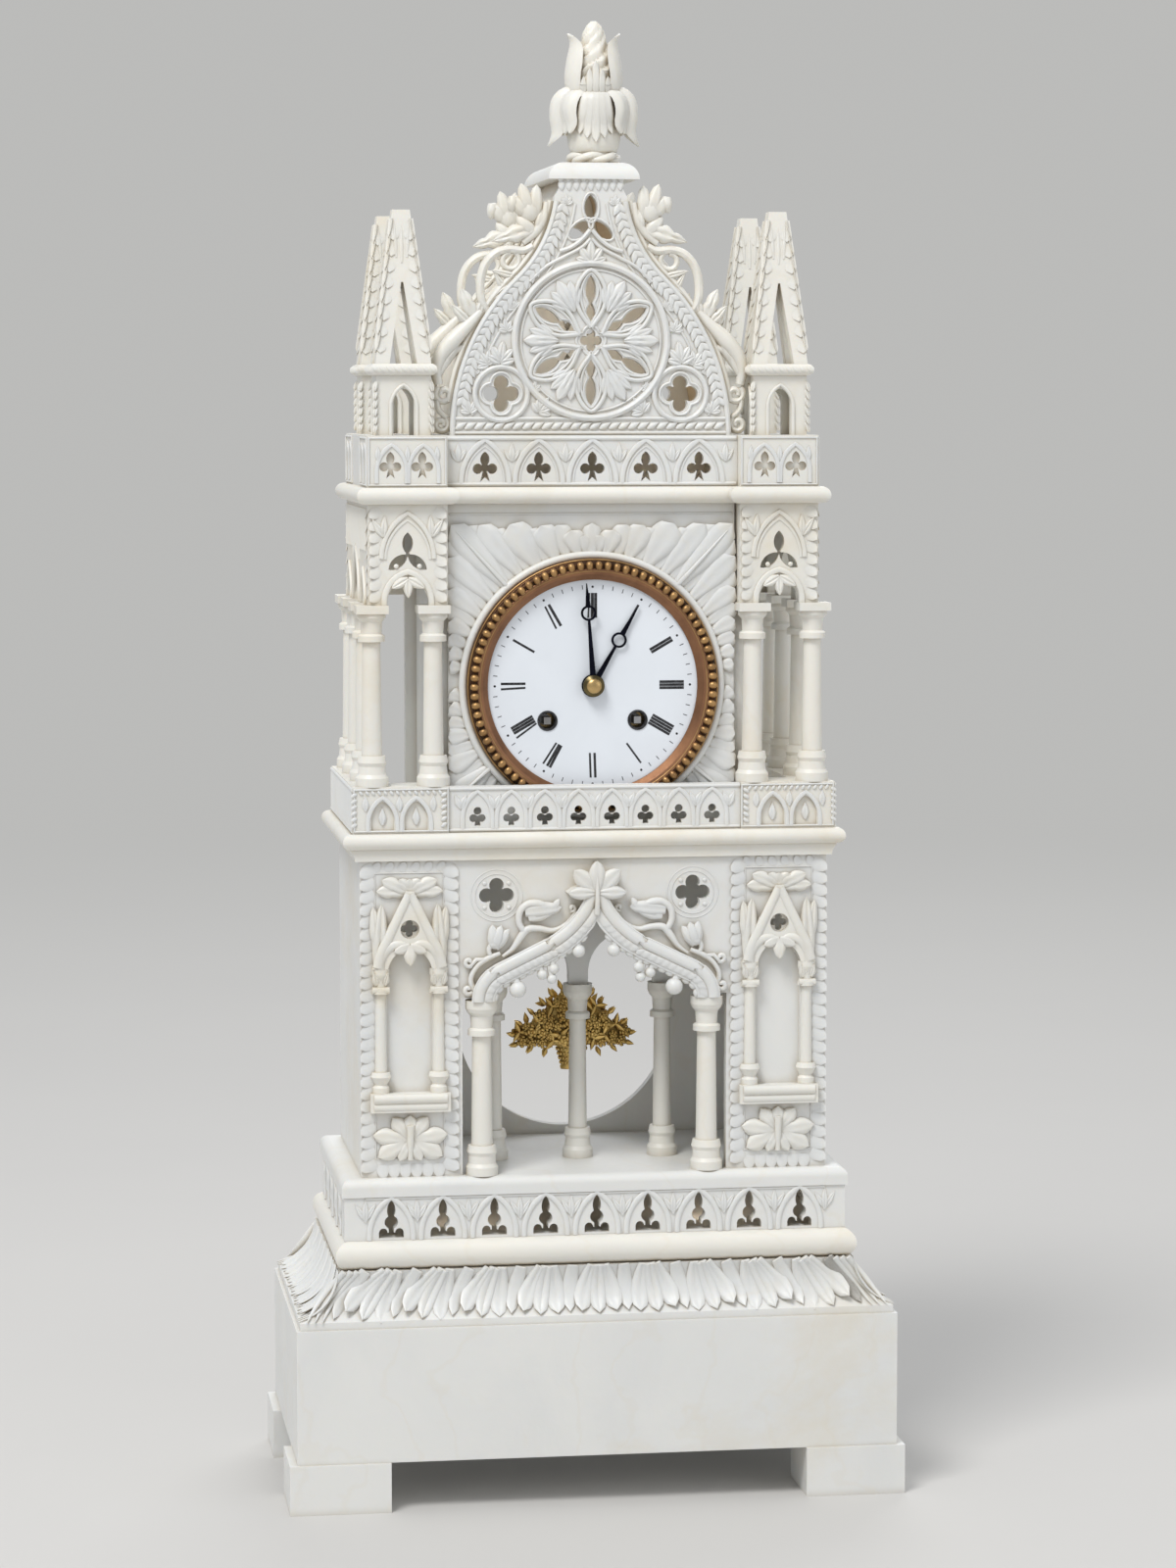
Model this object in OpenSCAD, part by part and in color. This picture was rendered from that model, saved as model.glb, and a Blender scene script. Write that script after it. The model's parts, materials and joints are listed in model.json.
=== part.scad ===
// Cathedral mantel clock: pierced stone case, round striking movement, gilt pendulum.
// Front faces -Y, +Z up, origin on the shelf under the middle of the clock.

/* [Base] */
// Width of the plinth block
plinth_w = 243; // [220:1:270]
// Depth of the plinth block
plinth_d = 123.6; // [118:0.2:150]
// Height of the plinth block
plinth_h = 54; // [30:1:80]
// Height of the feet
foot_h = 20; // [10:1:30]
// Width of a foot
foot_w = 40.5; // [25:0.5:60]
// Depth of a foot
foot_d = 34; // [20:1:45]
// How far a foot stands out from the plinth
foot_out = 3.2; // [0.5:0.1:6]
// Height of the leaf-carved hollow moulding
cavetto_h = 22.5; // [16:0.5:30]
// Thickness of the half-round slab
torus_h = 11.5; // [8:0.5:14]
// Height of the pierced frieze
frieze_h = 17.5; // [15:0.5:24]
// Thickness of the portal floor slab
floor_h = 7; // [5:0.5:10]

/* [Lower storey] */
// Width of the lower storey
body_w = 188.4; // [184:0.2:192]
// Depth of the lower storey
body_d = 94; // [92:1:100]
// Height of the lower storey
lower_h = 127; // [120:1:150]
// Thickness of the stone panels
wall = 5; // [4:0.5:6]
// Width of the portal between its jambs
portal_w = 107; // [104:1:110]
// Height of the arch zone, from the portal capitals to the main cornice
portal_head_h = 56.5; // [54:0.5:62]
// Distance between the two portal columns
portal_pitch = 91.2; // [88:0.2:93]
// Radius of the round opening in the back wall
back_hole_r = 45; // [30:1:46]
// Height of that opening's centre over the portal floor
back_hole_up = 48.5; // [46.5:0.5:60]
// Height of the main cornice
cornice_h = 11; // [8:0.5:16]

/* [Upper storey] */
// Height of the lower balustrade
rail_h = 18.5; // [14:0.5:22]
// Width of the upper storey over its turrets
upper_w = 180.8; // [178:0.2:184]
// Depth of the upper storey over its turrets
upper_d = 92; // [90:1:96]
// Width of one turret front
turret_w = 31.8; // [30:0.2:33]
// Height of the turret columns
column_h = 71.8; // [60:0.2:90]
// Radius of a turret column's shaft at its foot
shaft_r = 4.1; // [3.4:0.1:4.6]
// Height of the turret heads
head_h = 39.7; // [34:0.1:50]
// Depth of the dial panel's face behind the turret fronts
dial_setback = 8; // [6:0.5:10]
// Thickness of the upper cornice
upper_cornice_h = 6.7; // [5:0.1:9]
// Height of the upper balustrade
parapet_h = 20.4; // [16:0.1:26]

/* [Crown] */
// Height of the two ogee gables
gable_h = 101; // [96:0.5:106]
// Distance between the outer faces of the two gables
crown_d = 72; // [66:1:74]
// Distance between the pinnacles, side to side
pinnacle_x = 151; // [149:0.5:152]
// Distance between the pinnacles, front to back
pinnacle_y = 63; // [61:0.5:64]
// Height of a pinnacle's arched box
pinnacle_box_h = 23.6; // [18:0.2:28]
// Width of a pinnacle's arched box
pinnacle_box_w = 21.4; // [18:0.2:23]
// Height of a spire over its slab
spire_h = 60.4; // [50:0.2:72]
// Height of the cap on the crown
cap_h = 6.8; // [5:0.1:9]
// How far the finial stands to the right of the axis
finial_x = 3.5; // [0:0.5:5]
// How far the finial stands in front of the middle
finial_y = 12; // [0:1:16]

/* [Dial and hands] */
// Height of the dial's centre over the main cornice
dial_up = 57.5; // [56:0.5:62]
// Radius of the enamel that shows
dial_r = 42.3; // [40:0.1:43]
// Outer radius of the beaded bezel
bezel_r = 50.6; // [50:0.1:52]
// Length of the minute hand from the centre
minute_len = 41; // [34:0.5:41.5]
// Length of the hour hand from the centre
hour_len = 37; // [24:0.5:39]
// Sideways distance of a winding hole from the centre
wind_x = 18.2; // [18:0.1:18.6]
// Distance of a winding hole below the centre
wind_down = 14; // [13.8:0.1:15]

/* [Movement] */
// Radius of the movement plates
plate_r = 44.4; // [44.2:0.1:44.8]
// Clear distance between the movement plates
plate_gap = 37; // [36.5:0.1:40]
// Height of the pendulum's pivot over the dial's centre
pivot_up = 38; // [38:0.5:38.5]
// Distance from the pendulum's pivot to the middle of its bob
pendulum_len = 184; // [178:1:186]
// Swing of the pendulum to each side, in degrees
swing = 4; // [2:0.5:4]
// Radius of the bell
bell_r = 30; // [26:0.5:30]
// Radial clearance of a turning arbor in its hole
fit = 0.05; // [0.02:0.01:0.08]

/* [Hidden] */
$fn = 64;

// Heights of the stack, from the shelf up
z_plinth = foot_h;
z_cavetto = z_plinth + plinth_h;
z_torus = z_cavetto + cavetto_h;
z_frieze = z_torus + torus_h;
z_floor = z_frieze + frieze_h;
z_lower = z_floor + floor_h;
z_cornice = z_lower + lower_h;
z_rail = z_cornice + cornice_h;
z_column = z_rail + rail_h;
z_head = z_column + column_h;
z_upcorn = z_head + head_h;
z_parapet = z_upcorn + upper_cornice_h;
z_deck = z_parapet + parapet_h;
z_slab = z_deck + pinnacle_box_h;
z_cap = z_deck + gable_h;
z_finial = z_cap + cap_h;
z_dial = z_rail + dial_up;
z_pivot = z_dial + pivot_up;

// Plan sizes that follow the storeys
cavetto_foot_w = plinth_w - 3;
cavetto_foot_d = plinth_d - 3;
frieze_w = body_w + 14.6;
frieze_d = body_d + 11;
floor_w = body_w + 16.6;
floor_d = body_d + 12.6;
torus_w = frieze_w + 8;
torus_d = frieze_d + 10.4;
cornice_w = body_w + 14;
cornice_d = body_d + 10;
rail_w = upper_w + 13.2;
rail_d = upper_d + 6;
frieze_t = 6;

// Front planes, all negative because the front faces -Y
y_body = -body_d / 2;
y_turret = -upper_d / 2;
y_dial = y_turret + dial_setback;
y_rail = -rail_d / 2;
inner_x = upper_w / 2 - turret_w;
turret_in = 0.9;
panel_hw = inner_x - turret_in;
side_wall_t = 4.5;
y_side_wall = y_dial + 2.2;
column_x = upper_w / 2 - 1.6;
column_y = upper_d / 2 - 3;
side_column_y = upper_d / 2 - 29;
inner_column_x = inner_x + 5.7;
back_panel_hw = panel_hw + 9.2;
y_back = upper_d / 2 - wall;

// Portal ogee: a convex foot arc, a straight rise and a concave arc up to the point
ogee_foot_r = 12;
ogee_end = 64;
ogee_rise = 22;
ogee_top_r = 40;
ogee_last = 205;
rib_w = 8;

// Movement planes along Y, from the front plate to the back plate
plate_t = 2;
y_front_plate = y_dial + 7;
y_gap = y_front_plate + plate_t;
y_back_plate = y_gap + plate_gap;
y_pendulum = y_back_plate + plate_t + 10;
centre_z = z_dial;
third_x = -11.46;
third_z = centre_z + 14.14;
escape_z = centre_z + 24;
minute_z = centre_z - 9.6;
barrel_z = centre_z - wind_down;
barrel_dist = sqrt(wind_x * wind_x + wind_down * wind_down);
great_teeth = 84;
centre_leaves = 12;
great_m = 2 * barrel_dist / (great_teeth + centre_leaves);
drum_r = 15.2;
arbor_r = 1.6;
wind_r = 2.2;
bell_z = z_dial - 6;
y_bell = y_pendulum + 3.5;
bell_depth = 13;
hammer_x = -34.5;
hammer_z = z_dial + 16;

// General shapes

module box(x0, x1, y0, y1, z0, z1) {
  translate([x0, y0, z0]) cube([x1 - x0, y1 - y0, z1 - z0]);
}

module both_sides() {
  children();
  mirror([1, 0, 0]) children();
}

// Things drawn in the front view, given thickness from y0 back to y1
module slice(y0, y1, x = 0, z = 0) {
  translate([x, y1, z]) rotate([90, 0, 0]) linear_extrude(y1 - y0) children();
}

module shaft(r, y0, y1, x = 0, z = 0) {
  translate([x, y1, z]) rotate([90, 0, 0]) cylinder(h = y1 - y0, r = r);
}

// Pointed arch of half-width a and total height h, standing on y = 0
module pointed_arch(a, h) {
  r = a * 1.25;
  spring = h - sqrt(r * r - (r - a) * (r - a));
  intersection() {
    arch_side(a, r, spring);
    mirror([1, 0]) arch_side(a, r, spring);
  }
}
// Straight jamb at x = a with the arc that goes on from it, and all that lies left of them
module arch_side(a, r, spring) {
  translate([a - r, spring]) intersection() {
    circle(r);
    translate([-r, 0]) square(2 * r);
  }
  translate([a - 2 * r, 0]) square([2 * r, spring]);
}

// Lens of length l and width w, centred, long side up
module lens(l, w) {
  r = (l * l + w * w) / (4 * w);
  intersection() {
    translate([r - w / 2, 0]) circle(r);
    translate([w / 2 - r, 0]) circle(r);
  }
}

// Three leaves opening from one point, the middle one upright
module three_lobes(s) {
  translate([0, 4.2 * s]) lens(8.4 * s, 4.1 * s);
  for (side = [-1, 1]) rotate(side * 128) translate([0, 4.6 * s]) lens(9.2 * s, 4.2 * s);
  circle(0.8 * s);
}

module quatrefoil(r) {
  for (a = [0:90:270]) rotate(a) translate([0, r * 0.58]) circle(r * 0.42);
  circle(r * 0.4);
}

// Club-shaped piercing with a forked foot
module club(s) {
  translate([0, 4.3 * s]) lens(6.4 * s, 3.8 * s);
  for (side = [-1, 1]) translate([side * 2.9 * s, 0.6 * s]) circle(2.1 * s);
  translate([0, 1 * s]) circle(1.7 * s);
  polygon([[-0.8 * s, 0], [0.8 * s, 0], [1.9 * s, -4.6 * s], [0, -2.9 * s], [-1.9 * s, -4.6 * s]]);
}

// Frieze piercing: pointed lobe over a round lobe over a wide foot
module frieze_piercing() {
  translate([0, 12]) lens(8.4, 3.4);
  translate([0, 7.2]) circle(2.7);
  translate([0, 4.2]) square([2.2, 4], center = true);
  translate([-5, 0.9]) square([10, 2.2]);
  for (side = [-1, 1]) translate([side * 3.2, 3.1]) circle(1.7);
}

// Turned column standing on z = 0: foot radius, shaft, neck ring and capital
module turned_column(h, r, base_r, cap_r, square_cap) {
  base_h = h * 0.17;
  bell_h = h * 0.2;
  abacus = h * 0.045;
  rotate_extrude() polygon([[0, 0], [base_r, 0], [base_r, base_h * 0.28],
    [base_r - 0.9, base_h * 0.4],
    [r + 1.2, base_h * 0.66], [r + 1.8, base_h * 0.78], [r + 1.2, base_h], [r, base_h],
    [r * 0.88, h - bell_h], [r + 1.2, h - bell_h], [r + 1.2, h - bell_h * 0.84],
    [r, h - bell_h * 0.78], [r + 0.3, h - bell_h * 0.45], [cap_r * 0.9, h - abacus * 1.5],
    [square_cap ? cap_r * 0.9 : cap_r, h - abacus], [square_cap ? cap_r * 0.9 : cap_r, h], [0, h]]);
  if (square_cap) translate([-cap_r, -cap_r, h - abacus]) cube([2 * cap_r, 2 * cap_r, abacus]);
}

// Base

module feet() {
  color("ivory") for (sx = [-1, 1], sy = [-1, 1])
    translate([sx * (plinth_w + 2 * foot_out - foot_w) / 2, sy * (plinth_d + foot_out - foot_d) / 2, 0])
      translate([0, 0, foot_h / 2]) cube([foot_w, foot_d, foot_h], center = true);
}

module plinth_block() {
  color("ivory") translate([0, 0, z_plinth + plinth_h / 2])
    cube([plinth_w, plinth_d, plinth_h], center = true);
}

// Hollow curve that narrows from the plinth to the half-round slab
cavetto_hollow = 4;
module cavetto_section(foot, head) {
  flare = (foot - head) / 2;
  fillet = 3;
  rise = cavetto_h - fillet;
  chord = sqrt(flare * flare + rise * rise);
  r = (chord * chord / 4 + cavetto_hollow * cavetto_hollow) / (2 * cavetto_hollow);
  centre_x = (foot + head) / 4 + (r - cavetto_hollow) * rise / chord;
  centre_z = fillet + rise / 2 + (r - cavetto_hollow) * flare / chord;
  difference() {
    polygon([[-foot / 2, 0], [foot / 2, 0], [foot / 2, fillet], [head / 2, cavetto_h],
      [-head / 2, cavetto_h], [-foot / 2, fillet]]);
    for (side = [-1, 1]) translate([side * centre_x, centre_z]) circle(r);
  }
}

module leaf_cavetto() {
  color("ivory") translate([0, 0, z_cavetto]) intersection() {
    rotate([90, 0, 0]) linear_extrude(plinth_d, center = true)
      cavetto_section(cavetto_foot_w, torus_w - 3);
    rotate([90, 0, 90]) linear_extrude(plinth_w, center = true)
      cavetto_section(cavetto_foot_d, torus_d - 3);
  }
}

module round_edge_section(w, h) {
  square([w - h, h], center = true);
  for (side = [-1, 1]) translate([side * (w / 2 - h / 2), 0]) circle(d = h);
}

module round_edge_slab(w, d, h, z) {
  translate([0, 0, z + h / 2]) intersection() {
    rotate([90, 0, 0]) linear_extrude(d, center = true) round_edge_section(w, h);
    rotate([90, 0, 90]) linear_extrude(w, center = true) round_edge_section(d, h);
  }
}

module torus_slab() {
  color("ivory") round_edge_slab(torus_w, torus_d, torus_h, z_torus);
}

frieze_pitch = 20.7;
side_frieze_pitch = 19;
seam = 0.05;
module frieze_panel(w, y0, n, pitch) {
  difference() {
    slice(y0, y0 + frieze_t, 0, z_frieze) translate([-w / 2, 0]) square([w, frieze_h]);
    for (i = [0:n - 1]) slice(y0 - 1, y0 + frieze_t + 1, (i - (n - 1) / 2) * pitch, z_frieze)
      frieze_piercing();
  }
}
module pierced_frieze() {
  side_l = frieze_d - 2 * frieze_t - 2 * seam;
  color("ivory") {
    frieze_panel(frieze_w, -frieze_d / 2, 9, frieze_pitch);
    rotate(180) frieze_panel(frieze_w, -frieze_d / 2, 9, frieze_pitch);
    for (a = [90, 270]) rotate(a) frieze_panel(side_l, -frieze_w / 2, 4, side_frieze_pitch);
  }
}

// Flat slab whose upper edge is rounded over by r
module eased_section(w, h, r) {
  translate([-w / 2, 0]) square([w, h - r]);
  translate([-w / 2 + r, 0]) square([w - 2 * r, h]);
  for (side = [-1, 1]) translate([side * (w / 2 - r), h - r]) circle(r);
}
module eased_slab(w, d, h, r, z) {
  translate([0, 0, z]) intersection() {
    rotate([90, 0, 0]) linear_extrude(d, center = true) eased_section(w, h, r);
    rotate([90, 0, 90]) linear_extrude(w, center = true) eased_section(d, h, r);
  }
}
module floor_slab() {
  color("ivory") eased_slab(floor_w, floor_d, floor_h, 3.4, z_floor);
}

// Lower storey

// Right-hand line of the portal's ogee, moved outward by off
function ogee_foot(off) = [for (a = [0:8:ogee_end])
  [portal_pitch / 2 - ogee_foot_r + (ogee_foot_r + off) * cos(a), (ogee_foot_r + off) * sin(a)]];
ogee_cx = portal_pitch / 2 - ogee_foot_r + (ogee_foot_r + ogee_top_r) * cos(ogee_end)
  - ogee_rise * sin(ogee_end);
ogee_cz = (ogee_foot_r + ogee_top_r) * sin(ogee_end) + ogee_rise * cos(ogee_end);
function ogee_x(off, a) = ogee_cx + (ogee_top_r - off) * cos(a);
function ogee_z(off, a) = ogee_cz + (ogee_top_r - off) * sin(a);
function ogee_head(off) = [for (a = [ogee_end + 180:-3:ogee_last])
  if (ogee_x(off, a) > 0.5) [ogee_x(off, a), ogee_z(off, a)]];
function ogee_tip(off) = ogee_x(off, ogee_last) > 0
  ? ogee_z(off, ogee_last) + ogee_x(off, ogee_last) / tan(ogee_last)
  : ogee_cz - sqrt(pow(ogee_top_r - off, 2) - ogee_cx * ogee_cx);
function ogee_side(off) = concat(ogee_foot(off), ogee_head(off), [[0, ogee_tip(off)]]);
function mirrored(points) = [for (i = [len(points) - 1:-1:0]) [-points[i][0], points[i][1]]];

module ogee_region(off) {
  polygon(concat(ogee_side(off), mirrored(ogee_side(off))));
}

portal_column_h = lower_h - portal_head_h;
z_spring = z_lower + portal_column_h;
niche_x = 74.6;
quatrefoil_x = 39.6;
quatrefoil_up = 112.5;

module portal_opening() {
  translate([-portal_w / 2, z_lower - 1]) square([portal_w, portal_column_h + 2]);
  translate([0, z_spring]) ogee_region(0);
}

module front_facade() {
  color("ivory") difference() {
    slice(y_body, y_body + wall) difference() {
      translate([-body_w / 2, z_lower]) square([body_w, lower_h]);
      portal_opening();
      for (side = [-1, 1]) {
        translate([side * quatrefoil_x, z_lower + quatrefoil_up]) quatrefoil(7);
        translate([side * niche_x, z_lower + 99.8]) quatrefoil(3.4);
      }
    }
    for (side = [-1, 1]) slice(y_body - 1, y_body + 2.2, side * niche_x, z_lower + 34)
      pointed_arch(9, 58);
  }
}

module lower_side_walls() {
  color("ivory") both_sides()
    box(body_w / 2 - wall, body_w / 2, y_body + wall, -y_body - wall, z_lower, z_cornice);
}

module lower_back_wall() {
  color("ivory") slice(-y_body - wall, -y_body) difference() {
    translate([-body_w / 2, z_lower]) square([body_w, lower_h]);
    translate([0, z_lower + back_hole_up]) circle(back_hole_r);
  }
}

portal_y = y_body + 1.2;
module portal_arch() {
  color("ivory") {
    slice(y_body - 5, y_body, 0, z_spring) difference() {
      ogee_region(rib_w / 2);
      ogee_region(-rib_w / 2);
      translate([-60, -10]) square([120, 10]);
    }
    slice(y_body - 6, y_body, 0, z_spring + ogee_tip(0) + 3) {
      for (a = [-90, -45, 0, 45, 90]) rotate(a) translate([0, 6]) lens(12, 5);
      translate([0, 0.5]) circle(3.4);
    }
  }
}

module portal_columns() {
  color("ivory") both_sides() translate([portal_pitch / 2, portal_y, z_lower])
    turned_column(portal_column_h, 4.3, 6.5, 6.5, false);
}

arcade_x = -2;
arcade_y = -12;
arcade_pitch = 35;
arcade_h = lower_h - 55.5;
arcade_half = arcade_pitch / 2 - 4;
arcade_arch_h = 21;
arcade_band = 6;
arcade_t = 5;
module inner_columns() {
  color("ivory") for (i = [-1:1]) translate([arcade_x + i * arcade_pitch, arcade_y, z_lower])
    turned_column(arcade_h, 3.8, 6.2, 6, false);
}

// Arched ribs that rise from the inner capitals to the ceiling
module inner_arcade() {
  z0 = z_lower + arcade_h;
  head = z_cornice - z0;
  color("ivory") slice(arcade_y - arcade_t / 2, arcade_y + arcade_t / 2, arcade_x, z0) difference() {
    translate([-arcade_pitch - 6, 0]) square([2 * arcade_pitch + 12, head]);
    for (i = [-0.5, 0.5]) translate([i * arcade_pitch, 0]) {
      translate([0, -1]) pointed_arch(arcade_half, arcade_arch_h + 1);
      translate([0, arcade_arch_h + arcade_band])
        pointed_arch(arcade_half, head - arcade_arch_h - 1.6 * arcade_band);
    }
  }
}

// Half columns, sill and steep gable that frame each niche
module niche_frame() {
  z0 = z_lower + 34;
  for (side = [-1, 1]) translate([side * 11.6, 0, z0]) intersection() {
    turned_column(50, 2.4, 3.4, 3.6, false);
    translate([-5, -10, 0]) cube([10, 10, 60]);
  }
  box(-16, 16, -4, 0, z0 - 7.5, z0);
  slice(-3, 0, 0, z0 + 50) difference() {
    polygon([[-15, 0], [15, 0], [11.6, 4], [1.6, 31], [-1.6, 31], [-11.6, 4]]);
    translate([0, 15.8]) circle(3.8);
    translate([0, -24.2]) pointed_arch(9, 33);
  }
}
module niche_frames() {
  color("ivory") for (side = [-1, 1]) translate([side * niche_x, y_body, 0]) niche_frame();
}

// Cornices

// Half-round over a hollow
module cornice_section(w, inset, h) {
  top_r = h * 0.29;
  difference() {
    union() {
      translate([-w / 2 + top_r, 0]) square([w - 2 * top_r, h]);
      for (side = [-1, 1]) translate([side * (w / 2 - top_r), h - top_r]) circle(top_r);
    }
    for (side = [-1, 1]) translate([side * w / 2, 0]) circle(inset);
  }
}

slot_x = 16;
slot_y = 9;
module main_cornice() {
  inset = (cornice_w - body_w) / 2 - 2;
  color("ivory") difference() {
    translate([0, 0, z_cornice]) intersection() {
      rotate([90, 0, 0]) linear_extrude(cornice_d, center = true)
        cornice_section(cornice_w, inset, cornice_h);
      rotate([90, 0, 90]) linear_extrude(cornice_w, center = true)
        cornice_section(cornice_d, inset - 2, cornice_h);
    }
    box(-slot_x, slot_x, y_pendulum - slot_y, y_pendulum + slot_y, z_cornice - 1, z_rail + 1);
  }
}

// Upper storey

rail_t = 2.8;
rail_pitch = 13.5;
pedestal_d = 20;
side_rail_w = 15.5;
pedestal_in = inner_x + 0.2;
module lower_balustrade() {
  y0 = y_rail + 1;
  color("ivory") slice(y0, y0 + rail_t) difference() {
    translate([-pedestal_in + seam, z_rail]) square([2 * pedestal_in - 2 * seam, rail_h]);
    for (i = [-3.5:3.5]) translate([i * rail_pitch, z_rail + 6.6]) {
      for (a = [0, 120, 240]) rotate(a) translate([0, 1.9]) circle(1.6);
      polygon([[-0.8, 0], [0.8, 0], [1.2, -4], [-1.2, -4]]);
    }
  }
}

module corner_pedestals() {
  color("ivory") both_sides() difference() {
    union() {
      box(pedestal_in, rail_w / 2, y_rail, y_dial, z_rail, z_column);
      box(panel_hw + side_wall_t + seam, rail_w / 2, y_dial - 1, y_rail + pedestal_d, z_rail, z_column);
      box(rail_w / 2 - side_rail_w, rail_w / 2, y_rail + pedestal_d - 1, -y_rail, z_rail, z_column);
    }
    for (i = [0, 1]) slice(y_rail - 1, y_rail + 1.2, pedestal_in + 13 + i * 13.4, z_rail + 0.8)
      pointed_arch(4.6, 12);
  }
}

panel_hole_r = bezel_r - 4.1;
module dial_panel() {
  color("ivory") slice(y_dial, y_dial + wall) difference() {
    translate([-panel_hw, z_rail]) square([2 * panel_hw, z_upcorn - z_rail]);
    translate([0, z_dial]) circle(panel_hole_r);
  }
}

module upper_side_walls() {
  color("ivory") both_sides()
    box(panel_hw + seam, panel_hw + side_wall_t, y_side_wall, y_back, z_rail, z_upcorn);
}

rear_hole_r = panel_hole_r - 0.2;
module upper_back_panel() {
  color("ivory") slice(y_back, y_back + wall) difference() {
    translate([-back_panel_hw, z_rail]) square([2 * back_panel_hw, z_upcorn - z_rail]);
    translate([0, z_dial]) circle(rear_hole_r);
  }
}

// Front pair and side row of each turret, and the row's back end
column_places = [[inner_column_x, -column_y], [column_x, -column_y], [column_x, -side_column_y],
  [column_x, side_column_y], [column_x, column_y]];
module turret_columns() {
  color("ivory") both_sides() for (p = column_places) translate([p[0], p[1], z_column])
    turned_column(column_h, shaft_r, 6.6, 6.4, true);
}

// Arched doorway and three-leaf piercing of a turret face, drawn on its own middle line
module turret_piercing() {
  translate([0, -1]) pointed_arch(8.4, 11.5);
  translate([0, 20]) three_lobes(1.05);
}

head_t = 4.4;
module turret_heads() {
  half = upper_w / 2;
  bay = column_y - side_column_y;
  color("ivory") both_sides() {
    slice(y_turret, y_turret + head_t, half - turret_w / 2, z_head) difference() {
      translate([-turret_w / 2, 0]) square([turret_w, head_h]);
      turret_piercing();
    }
    box(inner_x, inner_x + head_t, y_turret + head_t + seam, y_side_wall, z_head, z_upcorn);
    translate([half, 0, z_head]) rotate([90, 0, 90]) translate([0, 0, -head_t]) linear_extrude(head_t)
      difference() {
        translate([y_turret + head_t + seam, 0])
          square([upper_d - 2 * head_t - 2 * seam, head_h]);
        for (side = [-1, 1]) translate([side * (column_y - bay / 2), -1]) pointed_arch(8, 12.5);
        translate([0, -1]) pointed_arch(12.5, 20);
      }
    slice(-y_turret - head_t, -y_turret) translate([back_panel_hw + seam, z_head])
      square([half - back_panel_hw - seam, head_h]);
  }
}

module upper_cornice() {
  lip = 4.4;
  centre_d = 2 * (upper_d / 2 - dial_setback + 2 + lip);
  block = 30;
  color("ivory") {
    eased_under(upper_w + 2 * lip, centre_d, lip);
    for (sx = [-1, 1], sy = [-1, 1])
      translate([sx * (upper_w / 2 - turret_w / 2), sy * (upper_d / 2 - block / 2), 0])
        eased_under(turret_w + 2 * lip, block + 2 * lip, lip);
  }
}
// Slab with a bulging quarter-round under its edge
module under_section(w, lip) {
  h = upper_cornice_h;
  translate([-w / 2 + lip, 0]) square([w - 2 * lip, h]);
  intersection() {
    for (side = [-1, 1]) translate([side * (w / 2 - h / 2), h / 2]) circle(h / 2);
    translate([-w / 2, 0]) square([w, h]);
  }
  translate([-w / 2 + h / 2, 0]) square([w - h, h]);
}
module eased_under(w, d, lip) {
  translate([0, 0, z_upcorn]) intersection() {
    rotate([90, 0, 0]) linear_extrude(d, center = true) under_section(w, lip);
    rotate([90, 0, 90]) linear_extrude(w, center = true) under_section(d, lip);
  }
}

parapet_t = 4;
block_d = 28.5;
parapet_pitch = 21.5;
parapet_setback = 6;
module parapet_front(y0) {
  half = inner_x - seam;
  slice(y0, y0 + parapet_t) difference() {
    translate([-half, z_parapet]) square([2 * half, parapet_h]);
    for (i = [-2:2]) translate([i * parapet_pitch, z_parapet + 6.6]) club(0.98);
  }
}
module upper_balustrade() {
  color("ivory") {
    parapet_front(y_turret + parapet_setback);
    parapet_front(-y_turret - parapet_setback - parapet_t);
    both_sides() box(upper_w / 2 - parapet_t, upper_w / 2, y_turret + block_d + seam,
      -y_turret - block_d - seam, z_parapet, z_deck);
  }
}

module corner_blocks() {
  color("ivory") for (sx = [0, 1], sy = [0, 1]) mirror([sx, 0, 0]) mirror([0, sy, 0]) difference() {
    box(inner_x, upper_w / 2, y_turret, y_turret + block_d, z_parapet, z_deck);
    for (i = [0, 1]) slice(y_turret - 1, y_turret + 1.8, inner_x + 10 + i * 12.6, z_parapet + 7.6)
      club(0.86);
  }
}

deck_t = 4;
module top_deck() {
  gap = y_turret + parapet_setback + parapet_t + seam;
  color("ivory") difference() {
    box(-upper_w / 2 + parapet_t + seam, upper_w / 2 - parapet_t - seam, gap, -gap, z_deck - deck_t, z_deck);
    for (sx = [0, 1], sy = [0, 1]) mirror([sx, 0, 0]) mirror([0, sy, 0])
      box(inner_x - seam, upper_w / 2 + 1, y_turret - 1, y_turret + block_d + seam,
        z_deck - deck_t - 1, z_deck + 1);
  }
}

// Crown

module at_pinnacles() {
  for (sx = [-1, 1], sy = [-1, 1]) translate([sx * pinnacle_x / 2, sy * pinnacle_y / 2, 0]) children();
}

module pinnacle_boxes() {
  w = pinnacle_box_w;
  h = pinnacle_box_h;
  color("ivory") at_pinnacles() translate([0, 0, z_deck]) difference() {
    translate([-w / 2, -w / 2, 0]) cube([w, w, h]);
    translate([-w / 2 + 3, -w / 2 + 3, -1]) cube([w - 6, w - 6, h - 1.5]);
    for (a = [0, 90]) rotate([90, 0, a]) linear_extrude(2 * w, center = true)
      translate([0, -1]) pointed_arch(4.2, 19.5);
  }
}

slab_t = 4.6;
slab_w = pinnacle_box_w + 5;
module pinnacle_slabs() {
  color("ivory") at_pinnacles() round_edge_slab(slab_w, slab_w, slab_t, z_slab);
}

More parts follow.
